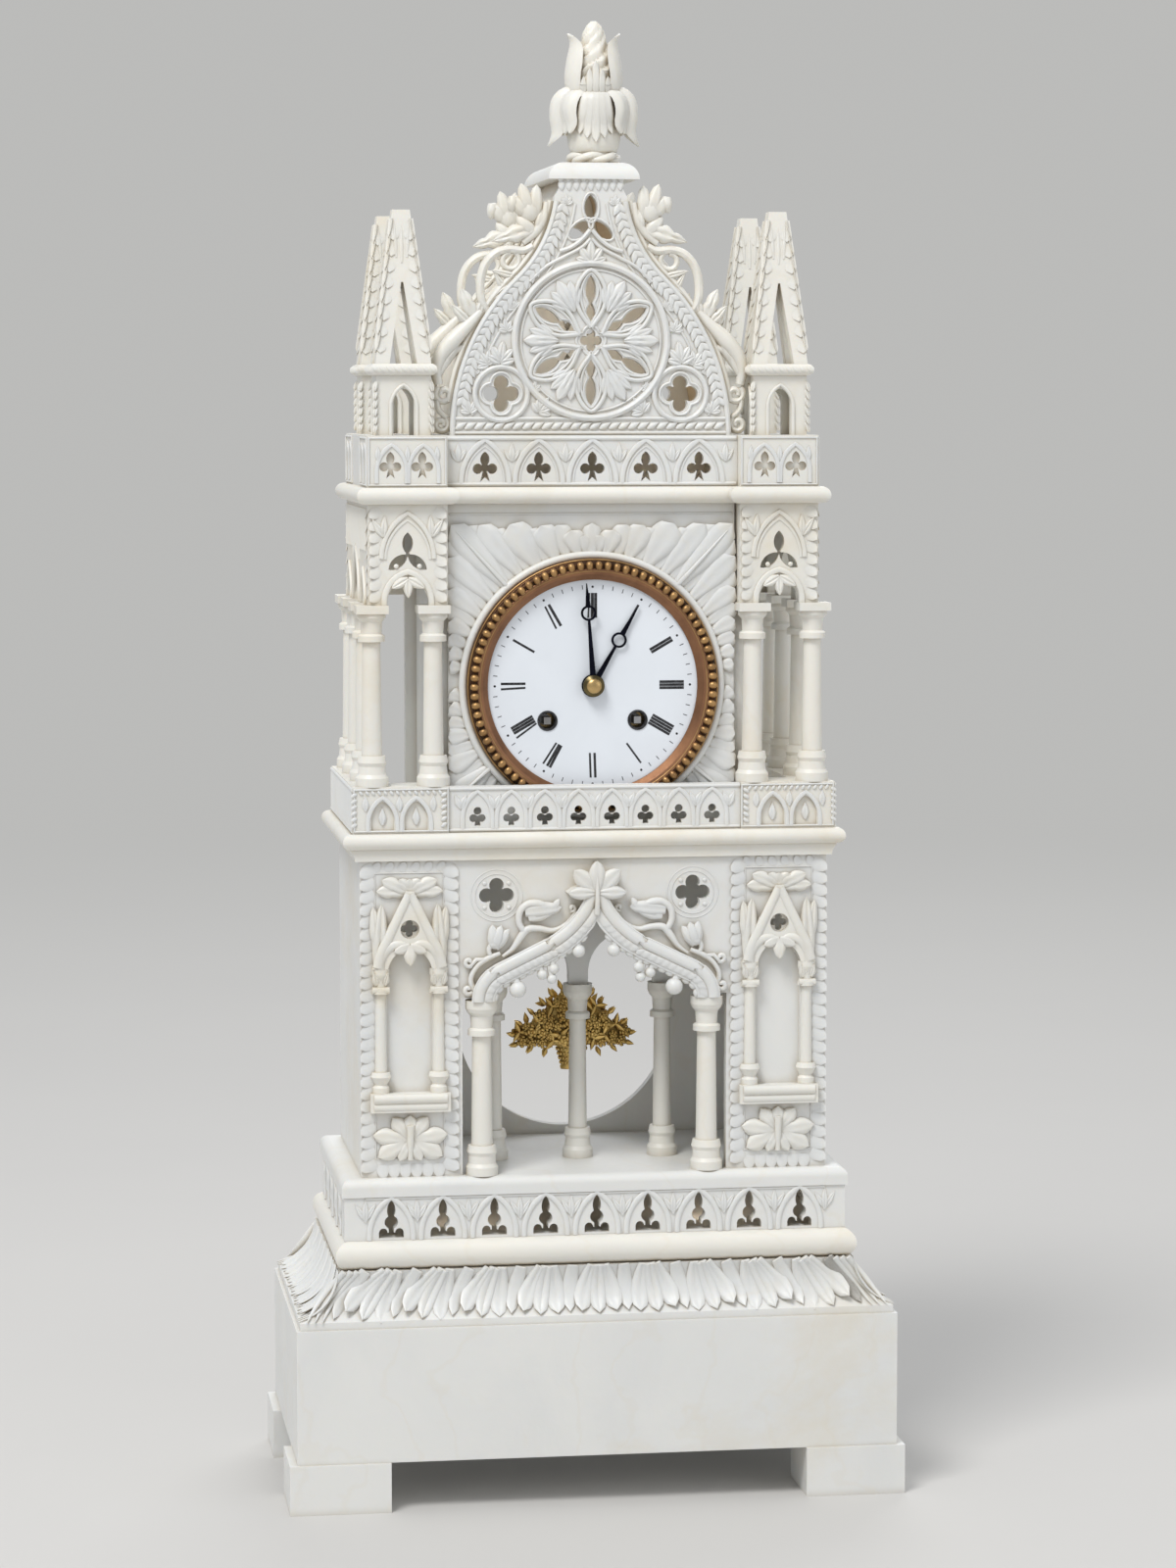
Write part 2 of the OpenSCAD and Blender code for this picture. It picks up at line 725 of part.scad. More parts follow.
// Four legs that meet in a flat-topped point
module spire_face(foot, head, h) {
  polygon([[-foot / 2, 0], [foot / 2, 0], [head / 2, h], [-head / 2, h]]);
}
module spires() {
  foot = pinnacle_box_w + 0.6;
  head = 7;
  h = spire_h;
  color("ivory") at_pinnacles() translate([0, 0, z_slab + slab_t]) difference() {
    intersection() {
      rotate([90, 0, 0]) linear_extrude(foot, center = true) spire_face(foot, head, h);
      rotate([90, 0, 90]) linear_extrude(foot, center = true) spire_face(foot, head, h);
    }
    for (a = [0, 90]) rotate([90, 0, a]) linear_extrude(foot + 2, center = true)
      polygon([[-foot / 4, -0.1], [foot / 4, -0.1], [0.4, h * 0.53], [-0.4, h * 0.53]]);
  }
}

// Gable outline: a convex arc from the foot and a concave arc up to the cap
gable_foot = 56.4;
gable_arc = 87;
gable_hollow = 51.4;
gable_turn = 46;
gable_cx = gable_foot - gable_arc;
function gable_side(off) = concat(
  [for (a = [0:gable_turn / 10:gable_turn])
    [gable_cx + (gable_arc + off) * cos(a), (gable_arc + off) * sin(a)]],
  [for (a = [gable_turn + 180:-4:gable_turn + 180 - 40])
    [gable_cx + (gable_arc + gable_hollow) * cos(gable_turn) + (gable_hollow - off) * cos(a),
     (gable_arc + gable_hollow) * sin(gable_turn) + (gable_hollow - off) * sin(a)]]);
module gable_region(off) {
  intersection() {
    polygon(concat([[0, 0]], gable_side(off), [[0, gable_h + 20]], mirrored(gable_side(off))));
    translate([-80, 0]) square([160, gable_h]);
  }
}

rose_up = 37.4;
module petal() {
  translate([0, 10]) lens(11, 3.8);
  translate([0, 20]) lens(12, 4.4);
}
module gable_piercings() {
  translate([0, rose_up]) {
    for (a = [0:60:300]) rotate(a) petal();
    quatrefoil(4.4);
  }
  for (side = [-1, 1]) translate([side * 36, 16.4]) quatrefoil(7.2);
  translate([0, 84.5]) three_lobes(1.25);
}

gable_t = 5;
module gable() {
  slice(-crown_d / 2, -crown_d / 2 + gable_t, 0, z_deck) difference() {
    gable_region(0);
    gable_piercings();
  }
}
module gables() {
  color("ivory") {
    gable();
    rotate(180) gable();
  }
}

roof_t = 3;
module ogee_roof() {
  half = crown_d / 2 - gable_t - seam;
  color("wheat") for (side = [0, 1]) mirror([side, 0, 0]) slice(-half, half, 0, z_deck) difference() {
    gable_region(-1.2);
    gable_region(-1.2 - roof_t);
    translate([-100, -1]) square([100 + seam, 200]);
  }
}

// Openwork foliage along each gable's edge: a hanging volute, a leaf, an arched stem and two leaves
module ring_2d(r, t) {
  difference() {
    circle(r);
    circle(r - t);
  }
}
module scroll_outline() {
  translate([60.5, 4.5]) ring_2d(4.2, 1.6);
  translate([59, 17.5]) ring_2d(4.6, 1.7);
  difference() {
    gable_region(7.5);
    gable_region(4.6);
    translate([-100, -1]) square([200, 15]);
    translate([-100, 62]) square([200, 60]);
  }
  for (p = [[52.5, 50, 24], [48.5, 56, 6]]) translate([p[0], p[1]]) rotate(p[2]) lens(17, 5);
  translate([34, 68]) difference() {
    circle(12.5);
    circle(10.6);
    translate([-40, -40]) square([30, 60]);
  }
  translate([30, 69.5]) ring_2d(4.2, 1.5);
  translate([34, 76]) rotate(-58) lens(17, 5);
  translate([25, 88]) rotate(-32) lens(18, 6);
}
module crest_scrolls() {
  t = 3.4;
  y0 = -crown_d / 2 + 1;
  color("ivory") for (sx = [0, 1], sy = [0, 1]) mirror([sx, 0, 0]) mirror([0, sy, 0])
    slice(y0, y0 + t, 0, z_deck) difference() {
      union() {
        scroll_outline();
        difference() {
          gable_region(3);
          translate([-100, -1]) square([200, 15]);
          translate([-100, 94]) square([200, 60]);
        }
      }
      gable_region(0.03);
      translate([-120, -1]) square([126, 200]);
    }
}

cap_foot_w = 36.4;
module cap_section(w, h) {
  translate([-w / 2 + h, 0]) square([w - 2 * h, h]);
  intersection() {
    translate([-w / 2, 0]) square([w, h]);
    for (side = [-1, 1]) translate([side * (w / 2 - h), 0]) circle(h);
  }
}
module crown_cap() {
  d = crown_d + 3;
  color("ivory") translate([1.2, 0, z_cap]) intersection() {
    rotate([90, 0, 0]) linear_extrude(d, center = true) cap_section(cap_foot_w, cap_h);
    rotate([90, 0, 90]) linear_extrude(cap_foot_w + 1, center = true) cap_section(d, cap_h);
  }
}

// Rope ring, cup, drooping collar and opening bud
module finial() {
  color("ivory") translate([finial_x, -finial_y, z_finial]) {
    rotate_extrude() polygon([[0, 0], [9.4, 0], [11.2, 1.4], [11.2, 3.2], [9.6, 4.6], [8, 5],
      [9.6, 12], [10.4, 16], [12, 22], [11.8, 29], [9, 31.5], [8.8, 36], [8.6, 44], [5.4, 50],
      [2, 57.6], [0, 57.6]]);
    for (a = [0:90:270]) rotate(a + 12) rotate([90, 0, 0]) linear_extrude(9, center = true)
      polygon([[10, 20], [13, 29], [17, 28], [20.4, 8], [17, 7], [13.6, 17]]);
  }
}

// Dial and bezel, with the dial standing on three feet on the front plate

bezel_t = 6.8;
y_bezel = y_dial - bezel_t;
bead_count = 82;
module bezel() {
  lip = dial_r;
  color("goldenrod") translate([0, y_dial, z_dial]) rotate([90, 0, 0]) rotate_extrude()
    polygon([[panel_hole_r - 0.8, -wall + 1], [panel_hole_r - 0.1, -wall + 1], [panel_hole_r - 0.1, 0],
      [bezel_r, 0], [bezel_r, bezel_t - 3], [bezel_r - 1.5, bezel_t - 1.6], [bezel_r - 4, bezel_t],
      [bezel_r - 6, bezel_t - 0.6], [lip, bezel_t - 3], [lip, bezel_t - 4],
      [panel_hole_r - 0.8, bezel_t - 4]]);
}

dial_disc_r = panel_hole_r - 1;
y_dial_face = y_dial - 2.6;
wind_hole_r = 3.5;
module enamel_dial() {
  color("white") difference() {
    shaft(dial_disc_r, y_dial_face, y_dial_face + 1.8, 0, z_dial);
    shaft(4.3, y_dial_face - 1, y_dial_face + 3, 0, z_dial);
    for (side = [-1, 1]) shaft(wind_hole_r, y_dial_face - 1, y_dial_face + 3, side * wind_x, barrel_z);
  }
  color("goldenrod") for (a = [90, 210, 330])
    shaft(1.2, y_dial_face + 1.8, y_front_plate, 36 * cos(a), z_dial + 36 * sin(a));
}

pipe_r = 2.2;
hour_pipe_r = 3;
y_hour_hand = y_dial_face - 1.6;
y_minute_hand = y_hour_hand - 1.5;
hand_t = 0.6;

// Hand with a round ring near its tip, lying upright
module ring_hand(len, ring_at, hub_r, bore) {
  difference() {
    union() {
      circle(hub_r);
      polygon([[-1.3, 0], [1.3, 0], [0.5, ring_at - 2], [-0.5, ring_at - 2]]);
      translate([0, ring_at]) circle(3.1);
      polygon([[-1.1, ring_at + 2], [1.1, ring_at + 2], [0.15, len], [-0.15, len]]);
    }
    circle(bore);
    translate([0, ring_at]) circle(2.2);
  }
}

minute_angle = 4;
hour_angle = -30;
module minute_hand() {
  color("midnightblue") slice(y_minute_hand, y_minute_hand + hand_t, 0, z_dial)
    rotate(minute_angle) ring_hand(minute_len, minute_len * 0.71, 4, 1.6);
}
module hour_hand() {
  color("midnightblue") slice(y_hour_hand, y_hour_hand + hand_t, 0, z_dial)
    rotate(hour_angle) ring_hand(hour_len, hour_len * 0.565, 4.6, hour_pipe_r + 0.01);
}
module hand_collet() {
  color("goldenrod") translate([0, y_minute_hand, z_dial]) rotate([90, 0, 0]) difference() {
    rotate_extrude() polygon([[0, 0], [4.3, 0], [4.3, 0.6], [3, 1.6], [1.7, 2.1], [0, 2.1]]);
    translate([0, 0, -0.01]) cylinder(h = 1.2, r = 1.2);
  }
}

// Movement

module plate_holes(y0, y1) {
  shaft(pipe_r + 0.3, y0, y1, 0, centre_z);
  shaft(1 + fit, y0, y1, third_x, third_z);
  shaft(1 + fit, y0, y1, 0, escape_z);
  for (side = [-1, 1]) shaft(wind_r + fit, y0, y1, side * wind_x, barrel_z);
  shaft(1.2 + fit, y0, y1, hammer_x, hammer_z);
  shaft(1 + fit, y0, y1, 0, z_pivot);
}

stud_l = 5;
module front_plate() {
  color("goldenrod") {
    difference() {
      shaft(plate_r, y_front_plate, y_gap, 0, z_dial);
      plate_holes(y_front_plate - 1, y_gap + 1);
    }
    shaft(0.8, y_front_plate - stud_l, y_front_plate, 0, minute_z);
  }
}

// Cheeks of the suspension cock, either side of the pendulum's top
cheek_in = 1.2;
cheek_t = 1.4;
cheek_out = cheek_in + cheek_t;
module back_plate() {
  y1 = y_back_plate + plate_t;
  color("goldenrod") difference() {
    union() {
      shaft(plate_r, y_back_plate, y1, 0, z_dial);
      box(-7, 7, y1 - 0.5, y_pendulum + cheek_out, z_pivot + 1.6, z_pivot + 4.6);
      for (side = [-1, 1]) box(-2.4, 2.4, y_pendulum + side * (cheek_in + cheek_t / 2) - cheek_t / 2,
        y_pendulum + side * (cheek_in + cheek_t / 2) + cheek_t / 2, z_pivot - 2.4, z_pivot + 2);
    }
    plate_holes(y_back_plate - 1, y1 + 1);
    shaft(rod_r + fit, y_pendulum - cheek_out - 1, y_pendulum + cheek_out + 1, 0, z_pivot);
  }
}

pillar_places = [for (a = [22, 175, 250, 290]) [cos(a) * 40.4, sin(a) * 40.4]];
module plate_pillars() {
  color("goldenrod") for (p = pillar_places)
    translate([p[0], y_back_plate, z_dial + p[1]]) rotate([90, 0, 0]) rotate_extrude()
      polygon([[0, 0], [2.6, 0], [2.6, 2], [1.8, 4], [1.6, plate_gap / 2], [1.8, plate_gap - 4],
        [2.6, plate_gap - 2], [2.6, plate_gap], [0, plate_gap]]);
}

// Gear outline: slender teeth on a disc, with a bore; each tooth runs root, tip, tip, root
tooth = [-0.225, -0.085, 0.085, 0.225];
module gear_2d(n, m, bore, turn = 0) {
  root = m * n / 2 - 1.15 * m;
  tip = m * n / 2 + 0.75 * m;
  step = 360 / n;
  difference() {
    polygon([for (i = [0:n - 1], k = [0:3])
      let (a = turn + (i + tooth[k]) * step, r = (k == 0 || k == 3) ? root : tip)
      [r * cos(a), r * sin(a)]]);
    circle(bore);
  }
}
// Wheel with four arms
module crossed_gear_2d(n, m, bore, turn = 0) {
  rim = m * n / 2 - 3.2 * m;
  hub = bore + 2.2;
  difference() {
    gear_2d(n, m, bore, turn);
    if (rim - hub > 2) for (a = [0:90:270]) rotate(a) intersection() {
      difference() {
        circle(rim);
        circle(hub);
      }
      translate([1.1, 1.1]) square(rim);
    }
  }
}

y_centre = y_gap + 1;
wheel_t = 1.2;
y_great = y_gap + 4;
y_going_drum = y_great + 2;
drum_l = 15;
y_strike_great = y_great + 20.5;
y_third = y_back_plate - 9;
y_escape = y_back_plate - 4;
centre_m = 0.4;
cannon_m = 0.39;
hour_m = 0.384;
third_m = 0.36;

// Turn that puts a gap of wheel b opposite a tooth of wheel a on the line of centres
function mesh_turn(a_turn, a_n, b_n, line) =
  180 + line + 180 / b_n - (a_turn - line) * a_n / b_n;

going_line = atan2(-wind_down, wind_x);
third_line = atan2(third_z - centre_z, third_x);
escape_line = atan2(escape_z - third_z, -third_x);

module centre_wheel() {
  y0 = y_dial_face - 4.4;
  color("goldenrod") {
    slice(y_centre, y_centre + wheel_t, 0, centre_z) crossed_gear_2d(84, centre_m, 1, 0);
    slice(y_great - 0.4, y_great + 2.4, 0, centre_z) gear_2d(centre_leaves, great_m, 0.9, 0);
    shaft(arbor_r, y_front_plate - 0.6, y_back_plate - 1, 0, centre_z);
    shaft(pipe_r, y_back_plate - 1, y_back_plate + plate_t, 0, centre_z);
    shaft(pipe_r, y_front_plate - 5, y_gap + 0.6, 0, centre_z);
    shaft(1.5, y_minute_hand, y_front_plate - 4, 0, centre_z);
    shaft(1.15, y_minute_hand - 0.9, y_minute_hand, 0, centre_z);
    slice(y_front_plate - 2.4, y_front_plate - 1, 0, centre_z) gear_2d(12, cannon_m, 1, 0);
  }
}

module minute_wheel() {
  turn = mesh_turn(0, 12, 36, -90);
  color("goldenrod") difference() {
    union() {
      slice(y_front_plate - 2.4, y_front_plate - 1.2, 0, minute_z) gear_2d(36, cannon_m, 0.5, turn);
      slice(y_front_plate - 4.6, y_front_plate - 2.3, 0, minute_z) gear_2d(10, hour_m, 0.5, 0);
    }
    shaft(0.8 + fit, y_front_plate - 6, y_front_plate, 0, minute_z);
  }
}

module hour_wheel() {
  turn = mesh_turn(0, 10, 40, 90);
  color("goldenrod") difference() {
    union() {
      slice(y_front_plate - 4.6, y_front_plate - 3.6, 0, centre_z) gear_2d(40, hour_m, 1, turn);
      shaft(hour_pipe_r, y_hour_hand, y_front_plate - 3.8, 0, centre_z);
    }
    shaft(pipe_r + fit, y_front_plate - 6, y_front_plate - 2, 0, centre_z);
    shaft(1.5 + fit, y_hour_hand - 1, y_front_plate - 4, 0, centre_z);
  }
}

module barrel(x, y_wheel, y_drum, teeth_turn) {
  difference() {
    union() {
      slice(y_wheel, y_wheel + 2, x, barrel_z) gear_2d(great_teeth, great_m, 1, teeth_turn);
      shaft(drum_r, y_drum, y_drum + drum_l, x, barrel_z);
    }
    shaft(wind_r + fit, y_wheel - 30, y_wheel + 30, x, barrel_z);
  }
}
module winding_arbor(x) {
  shaft(wind_r, y_front_plate - 2, y_back_plate + plate_t, x, barrel_z);
  translate([x, (y_dial_face + y_front_plate) / 2, barrel_z])
    cube([2.8, y_front_plate - y_dial_face - 0.8, 2.8], center = true);
}
module going_barrel() {
  turn = mesh_turn(0, centre_leaves, great_teeth, going_line);
  color("goldenrod") barrel(wind_x, y_great, y_going_drum, turn);
}
module striking_barrel() {
  color("goldenrod") barrel(-wind_x, y_strike_great, y_strike_great - drum_l, 0);
}
module going_arbor() {
  color("silver") winding_arbor(wind_x);
}
module striking_arbor() {
  color("silver") winding_arbor(-wind_x);
}

third_turn = mesh_turn(0, 84, 7, third_line);
module third_wheel() {
  color("goldenrod") {
    shaft(1, y_front_plate + 0.2, y_back_plate + plate_t - 0.2, third_x, third_z);
    slice(y_centre - 0.4, y_centre + 1.8, third_x, third_z) gear_2d(7, centre_m, 0.3, third_turn);
    slice(y_third, y_third + wheel_t, third_x, third_z) crossed_gear_2d(77, third_m, 0.8, third_turn);
  }
}

escape_r = 10;
module escape_wheel() {
  color("goldenrod") {
    shaft(1, y_front_plate + 0.2, y_back_plate + plate_t - 0.2, 0, escape_z);
    slice(y_third - 0.4, y_third + 1.8, 0, escape_z)
      gear_2d(7, third_m, 0.3, mesh_turn(third_turn, 77, 7, escape_line));
    slice(y_escape, y_escape + wheel_t, 0, escape_z) difference() {
      union() {
        circle(escape_r - 2.2);
        for (i = [0:31]) rotate(i * 360 / 32)
          polygon([[escape_r - 2.4, -0.75], [escape_r, 0.2], [escape_r, 0.5], [escape_r - 2.4, 0.55]]);
      }
      circle(0.8);
      for (a = [0:90:270]) rotate(a) intersection() {
        difference() {
          circle(escape_r - 4);
          circle(3);
        }
        translate([1, 1]) square(escape_r);
      }
    }
  }
}

// Anchor, its arbor and the crutch that leads the pendulum
module pallet_anchor() {
  drop = z_pivot - escape_z;
  color("silver") {
    shaft(1, y_front_plate + 0.2, y_pendulum - cheek_out - 0.3, 0, z_pivot);
    slice(y_escape, y_escape + 1.6, 0, z_pivot) difference() {
      union() {
        circle(2.6);
        for (side = [-1, 1]) polygon([[0, 1.8], [side * 10.2, -8.2], [side * 11.6, -8.2], [side * 2.6, 2.2]]);
      }
      circle(0.9);
    }
    box(-0.8, 0.8, y_pendulum - 5, y_pendulum - 3.8, z_pivot - 30, z_pivot - 0.5);
    for (side = [-1, 1]) box(side * 1.6 - 0.4, side * 1.6 + 0.4, y_pendulum - 5, y_pendulum + 1.5,
      z_pivot - 31, z_pivot - 29.6);
    box(-2, 2, y_pendulum - 5, y_pendulum - 3.8, z_pivot - 31, z_pivot - 29.6);
  }
}

rod_r = 1.1;
bob_h = 37;
module pendulum_rod() {
  color("goldenrod") {
    shaft(rod_r, y_pendulum - cheek_out + 0.1, y_pendulum + cheek_out - 0.1, 0, z_pivot);
    box(-1, 1, y_pendulum - 0.9, y_pendulum + 0.9, z_pivot - 10, z_pivot);
    translate([0, y_pendulum, z_pivot - pendulum_len + bob_h / 2])
      cylinder(h = pendulum_len - bob_h / 2 - 9, r = rod_r);
  }
}
// Flat casting: a basket with a spray of flowers over it
module pendulum_bob() {
  z0 = z_pivot - pendulum_len;
  color("gold") slice(y_pendulum - 4, y_pendulum + 4, 0, z0) {
    polygon([[-4.6, -18.5], [4.6, -18.5], [6.4, -7], [-6.4, -7]]);
    difference() {
      translate([0, -2]) circle(20.4);
      translate([-30, -40]) square([60, 32]);
    }
    for (side = [-1, 1]) translate([side * 20, -3]) rotate(side * 24) lens(15, 9);
  }
}

// Bell, stand and hammer
module bell() {
  color("silver") translate([0, y_bell, bell_z]) rotate([-90, 0, 0]) rotate_extrude()
    polygon([[bell_r, 0], [bell_r - 1.6, 0], [bell_r - 2.4, bell_depth * 0.5], [bell_r - 8, bell_depth - 2.2],
      [bell_r * 0.45, bell_depth - 1.6], [2, bell_depth - 1.6], [2, bell_depth], [bell_r * 0.45, bell_depth],
      [bell_r - 7, bell_depth - 0.6], [bell_r - 0.8, bell_depth * 0.5]]);
}
module bell_stand() {
  y1 = y_back_plate + plate_t;
  x0 = 18;
  y_arm = y_bell + bell_depth - 5.2;
  color("goldenrod") {
    shaft(2.4, y1, y_arm + 2.6, x0, bell_z);
    box(-3, x0, y_arm, y_arm + 2.6, bell_z - 2.5, bell_z + 2.5);
    shaft(1.9, y_arm + 1, y_bell + bell_depth + 2, 0, bell_z);
    shaft(3.4, y_bell + bell_depth + seam, y_bell + bell_depth + 2.4, 0, bell_z);
  }
}
module hammer() {
  y1 = y_back_plate + plate_t;
  color("silver") {
    shaft(1.2, y_front_plate + 0.2, y1 + 4, hammer_x, hammer_z);
    box(hammer_x - 1.2, hammer_x + 1.2, y1 + 1, y1 + 3, bell_z - 3, hammer_z + 1);
    box(hammer_x - 1.2, hammer_x + 1.2, y1 + 1, y_bell + 7, bell_z - 3, bell_z);
    translate([hammer_x, y_bell + 5, bell_z - 1.5]) rotate([0, 90, 0])
      cylinder(h = 6, r = 2.8, center = true);
  }
}

// Two long straps that draw the bezel and the rear ring together
strap_w = 6;
module movement_straps() {
  r = panel_hole_r - 0.9;
  color("goldenrod") for (a = [0, 180]) translate([0, 0, z_dial]) rotate([0, a, 0]) {
    translate([r - 0.7, y_dial + 0.2, -strap_w / 2]) cube([0.6, y_back + wall - y_dial - 0.4, strap_w]);
    translate([r - 5, y_back + wall - 1.2, -strap_w / 2]) cube([5 - 0.7, 1, strap_w]);
  }
}

rear_ring_t = 2.4;
y_rear = y_back + wall;
door_gap = 0.3;
door_t = 1.4;
y_door = y_rear + rear_ring_t + door_gap;
hinge_x = rear_hole_r + 7.2;
hinge_r = 1.6;
hinge_pin_r = 0.8;
knuckle_h = 10;
lug_h = 3;

// Ring screwed to the back panel, with two hinge lugs and their pin
module rear_bezel() {
  color("goldenrod") {
    difference() {
      shaft(rear_hole_r + 5, y_rear, y_rear + rear_ring_t, 0, z_dial);
      shaft(rear_hole_r - 3, y_rear - 1, y_rear + rear_ring_t + 1, 0, z_dial);
    }
    for (z = [z_dial + knuckle_h / 2 + seam, z_dial - knuckle_h / 2 - seam - lug_h]) {
      box(rear_hole_r, hinge_x, y_rear, y_rear + rear_ring_t, z, z + lug_h);
      translate([hinge_x, y_door + door_t / 2, z]) cylinder(h = lug_h, r = hinge_r);
    }
    translate([hinge_x, y_door + door_t / 2, z_dial - knuckle_h / 2 - 1])
      cylinder(h = knuckle_h + 2, r = hinge_pin_r);
  }
}
module rear_door() {
  color("goldenrod") difference() {
    union() {
      shaft(rear_hole_r + 4.5, y_door, y_door + door_t, 0, z_dial);
      translate([hinge_x, y_door + door_t / 2, z_dial - knuckle_h / 2]) cylinder(h = knuckle_h, r = hinge_r);
      box(rear_hole_r - 4, hinge_x, y_door, y_door + door_t, z_dial - knuckle_h / 2, z_dial + knuckle_h / 2);
      shaft(2.2, y_door + 1, y_door + 5, -rear_hole_r + 1, z_dial);
    }
    translate([hinge_x, y_door + door_t / 2, z_dial - knuckle_h])
      cylinder(h = 2 * knuckle_h, r = hinge_pin_r + fit);
  }
}

feet();
plinth_block();
leaf_cavetto();
torus_slab();
pierced_frieze();
floor_slab();
front_facade();
lower_side_walls();
lower_back_wall();
portal_arch();
portal_columns();
inner_columns();
inner_arcade();
niche_frames();
main_cornice();
lower_balustrade();
corner_pedestals();
dial_panel();
upper_side_walls();
upper_back_panel();
turret_columns();
turret_heads();
upper_cornice();
upper_balustrade();
corner_blocks();
top_deck();
pinnacle_boxes();
pinnacle_slabs();
spires();
gables();
ogee_roof();
crest_scrolls();
crown_cap();
finial();
bezel();
enamel_dial();
minute_hand();
hour_hand();
hand_collet();
front_plate();
back_plate();
plate_pillars();
going_barrel();
going_arbor();
striking_barrel();
striking_arbor();
centre_wheel();
third_wheel();
escape_wheel();
pallet_anchor();
minute_wheel();
hour_wheel();
pendulum_rod();
pendulum_bob();
bell();
bell_stand();
hammer();
movement_straps();
rear_bezel();
rear_door();
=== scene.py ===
"""Looks of the cathedral mantel clock: carving, finishes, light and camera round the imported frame."""
import json
import logging
import math
from dataclasses import dataclass, field
from enum import Enum
from typing import Callable, Iterator, Sequence

import bmesh
import bpy
import numpy as np
from mathutils import Matrix, Vector


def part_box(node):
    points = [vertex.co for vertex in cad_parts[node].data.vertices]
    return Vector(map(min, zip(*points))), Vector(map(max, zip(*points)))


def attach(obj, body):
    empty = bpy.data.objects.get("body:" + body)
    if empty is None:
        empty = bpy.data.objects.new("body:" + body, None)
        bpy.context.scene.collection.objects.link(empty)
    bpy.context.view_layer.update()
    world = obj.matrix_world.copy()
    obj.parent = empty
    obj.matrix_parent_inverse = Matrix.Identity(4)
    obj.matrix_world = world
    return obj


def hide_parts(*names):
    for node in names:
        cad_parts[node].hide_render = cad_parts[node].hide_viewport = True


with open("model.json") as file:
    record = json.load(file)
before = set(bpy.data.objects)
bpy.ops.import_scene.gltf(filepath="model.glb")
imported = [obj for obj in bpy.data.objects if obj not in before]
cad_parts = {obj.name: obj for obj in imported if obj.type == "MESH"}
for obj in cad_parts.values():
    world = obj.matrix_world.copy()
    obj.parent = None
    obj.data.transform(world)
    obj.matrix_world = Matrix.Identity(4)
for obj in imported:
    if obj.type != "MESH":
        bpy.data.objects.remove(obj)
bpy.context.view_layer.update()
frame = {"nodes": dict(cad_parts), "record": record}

MM = 0.001
EASE = 0.12
LOG = logging.getLogger("cathedral_clock")

Point = tuple[float, float, float]
Flat = tuple[float, float]


class Slot(Enum):
    """Material slots of the record."""

    ALABASTER = "alabaster"
    ROOF = "roof_stone"
    BRASS = "brass"
    GILT = "gilt_bronze"
    BELL = "bell_metal"
    STEEL = "steel"
    BLUED = "blued_steel"
    ENAMEL = "enamel"


class Side(Enum):
    """The four upright faces, each with its outward direction."""

    FRONT = (0.0, -1.0)
    RIGHT = (1.0, 0.0)
    BACK = (0.0, 1.0)
    LEFT = (-1.0, 0.0)

    @property
    def wide(self) -> bool:
        """Whether it is the front or the back, the clock's wide faces."""
        return self.value[0] == 0.0


# Placing


def face(side: Side, out: float, across: float = 0.0, up: float = 0.0) -> Matrix:
    """Frame of an upright face: x across, y up, z outward, in millimetres.

    Args:
        side: The face looked at.
        out: Distance of the face from the clock's axis.
        across: Where the frame's origin lies across the face.
        up: Height of the frame's origin.

    Returns:
        The matrix from the face's frame to the clock's frame.
    """
    normal = Vector((side.value[0], side.value[1], 0.0))
    upright = Vector((0.0, 0.0, 1.0))
    right = upright.cross(normal)
    origin = normal * out + right * across + upright * up
    return Matrix((
        (right.x, upright.x, normal.x, origin.x),
        (right.y, upright.y, normal.y, origin.y),
        (right.z, upright.z, normal.z, origin.z),
        (0.0, 0.0, 0.0, 1.0),
    ))


def at(x: float, y: float, z: float = 0.0, turn: float = 0.0, size: float = 1.0) -> Matrix:
    """Place in a face's frame, turned by degrees in the face and scaled."""
    return (Matrix.Translation((x, y, z)) @ Matrix.Rotation(math.radians(turn), 4, "Z")
            @ Matrix.Scale(size, 4))


def flipped() -> Matrix:
    """Mirror from the right half of a face to its left half."""
    return Matrix.Diagonal((-1.0, 1.0, 1.0, 1.0))


def press(share: float) -> Matrix:
    """Press a shape to a share of its height over the face."""
    return Matrix.Diagonal((1.0, 1.0, share, 1.0))


@dataclass(frozen=True)
class Seat:
    """How far a node of the frame reaches, in millimetres.

    Attributes:
        right: Reach to the right of the clock's axis.
        front: Reach in front of the axis.
        foot: Height of its underside.
        top: Height of its top.
    """

    right: float
    front: float
    foot: float
    top: float

    @classmethod
    def of(cls, node: str) -> "Seat":
        """Measure a node at rest."""
        low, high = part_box(node)
        return cls(*(round(reach / MM, 3) for reach in (high[0], -low[1], low[2], high[2])))

    @property
    def middle(self) -> float:
        """Height halfway between foot and top."""
        return round((self.foot + self.top) / 2, 3)

    def face(self, side: Side, across: float = 0.0) -> Matrix:
        """Frame of its face on one side, the origin at its foot."""
        return face(side, self.front if side.wide else self.right, across, self.foot)


# Lines


def arc(cx: float, cy: float, radius: float, start: float, end: float, steps: int) -> list[Flat]:
    """Points of an arc, its angles in degrees."""
    turns = [math.radians(start + (end - start) * i / steps) for i in range(steps + 1)]
    return [(cx + radius * math.cos(turn), cy + radius * math.sin(turn)) for turn in turns]


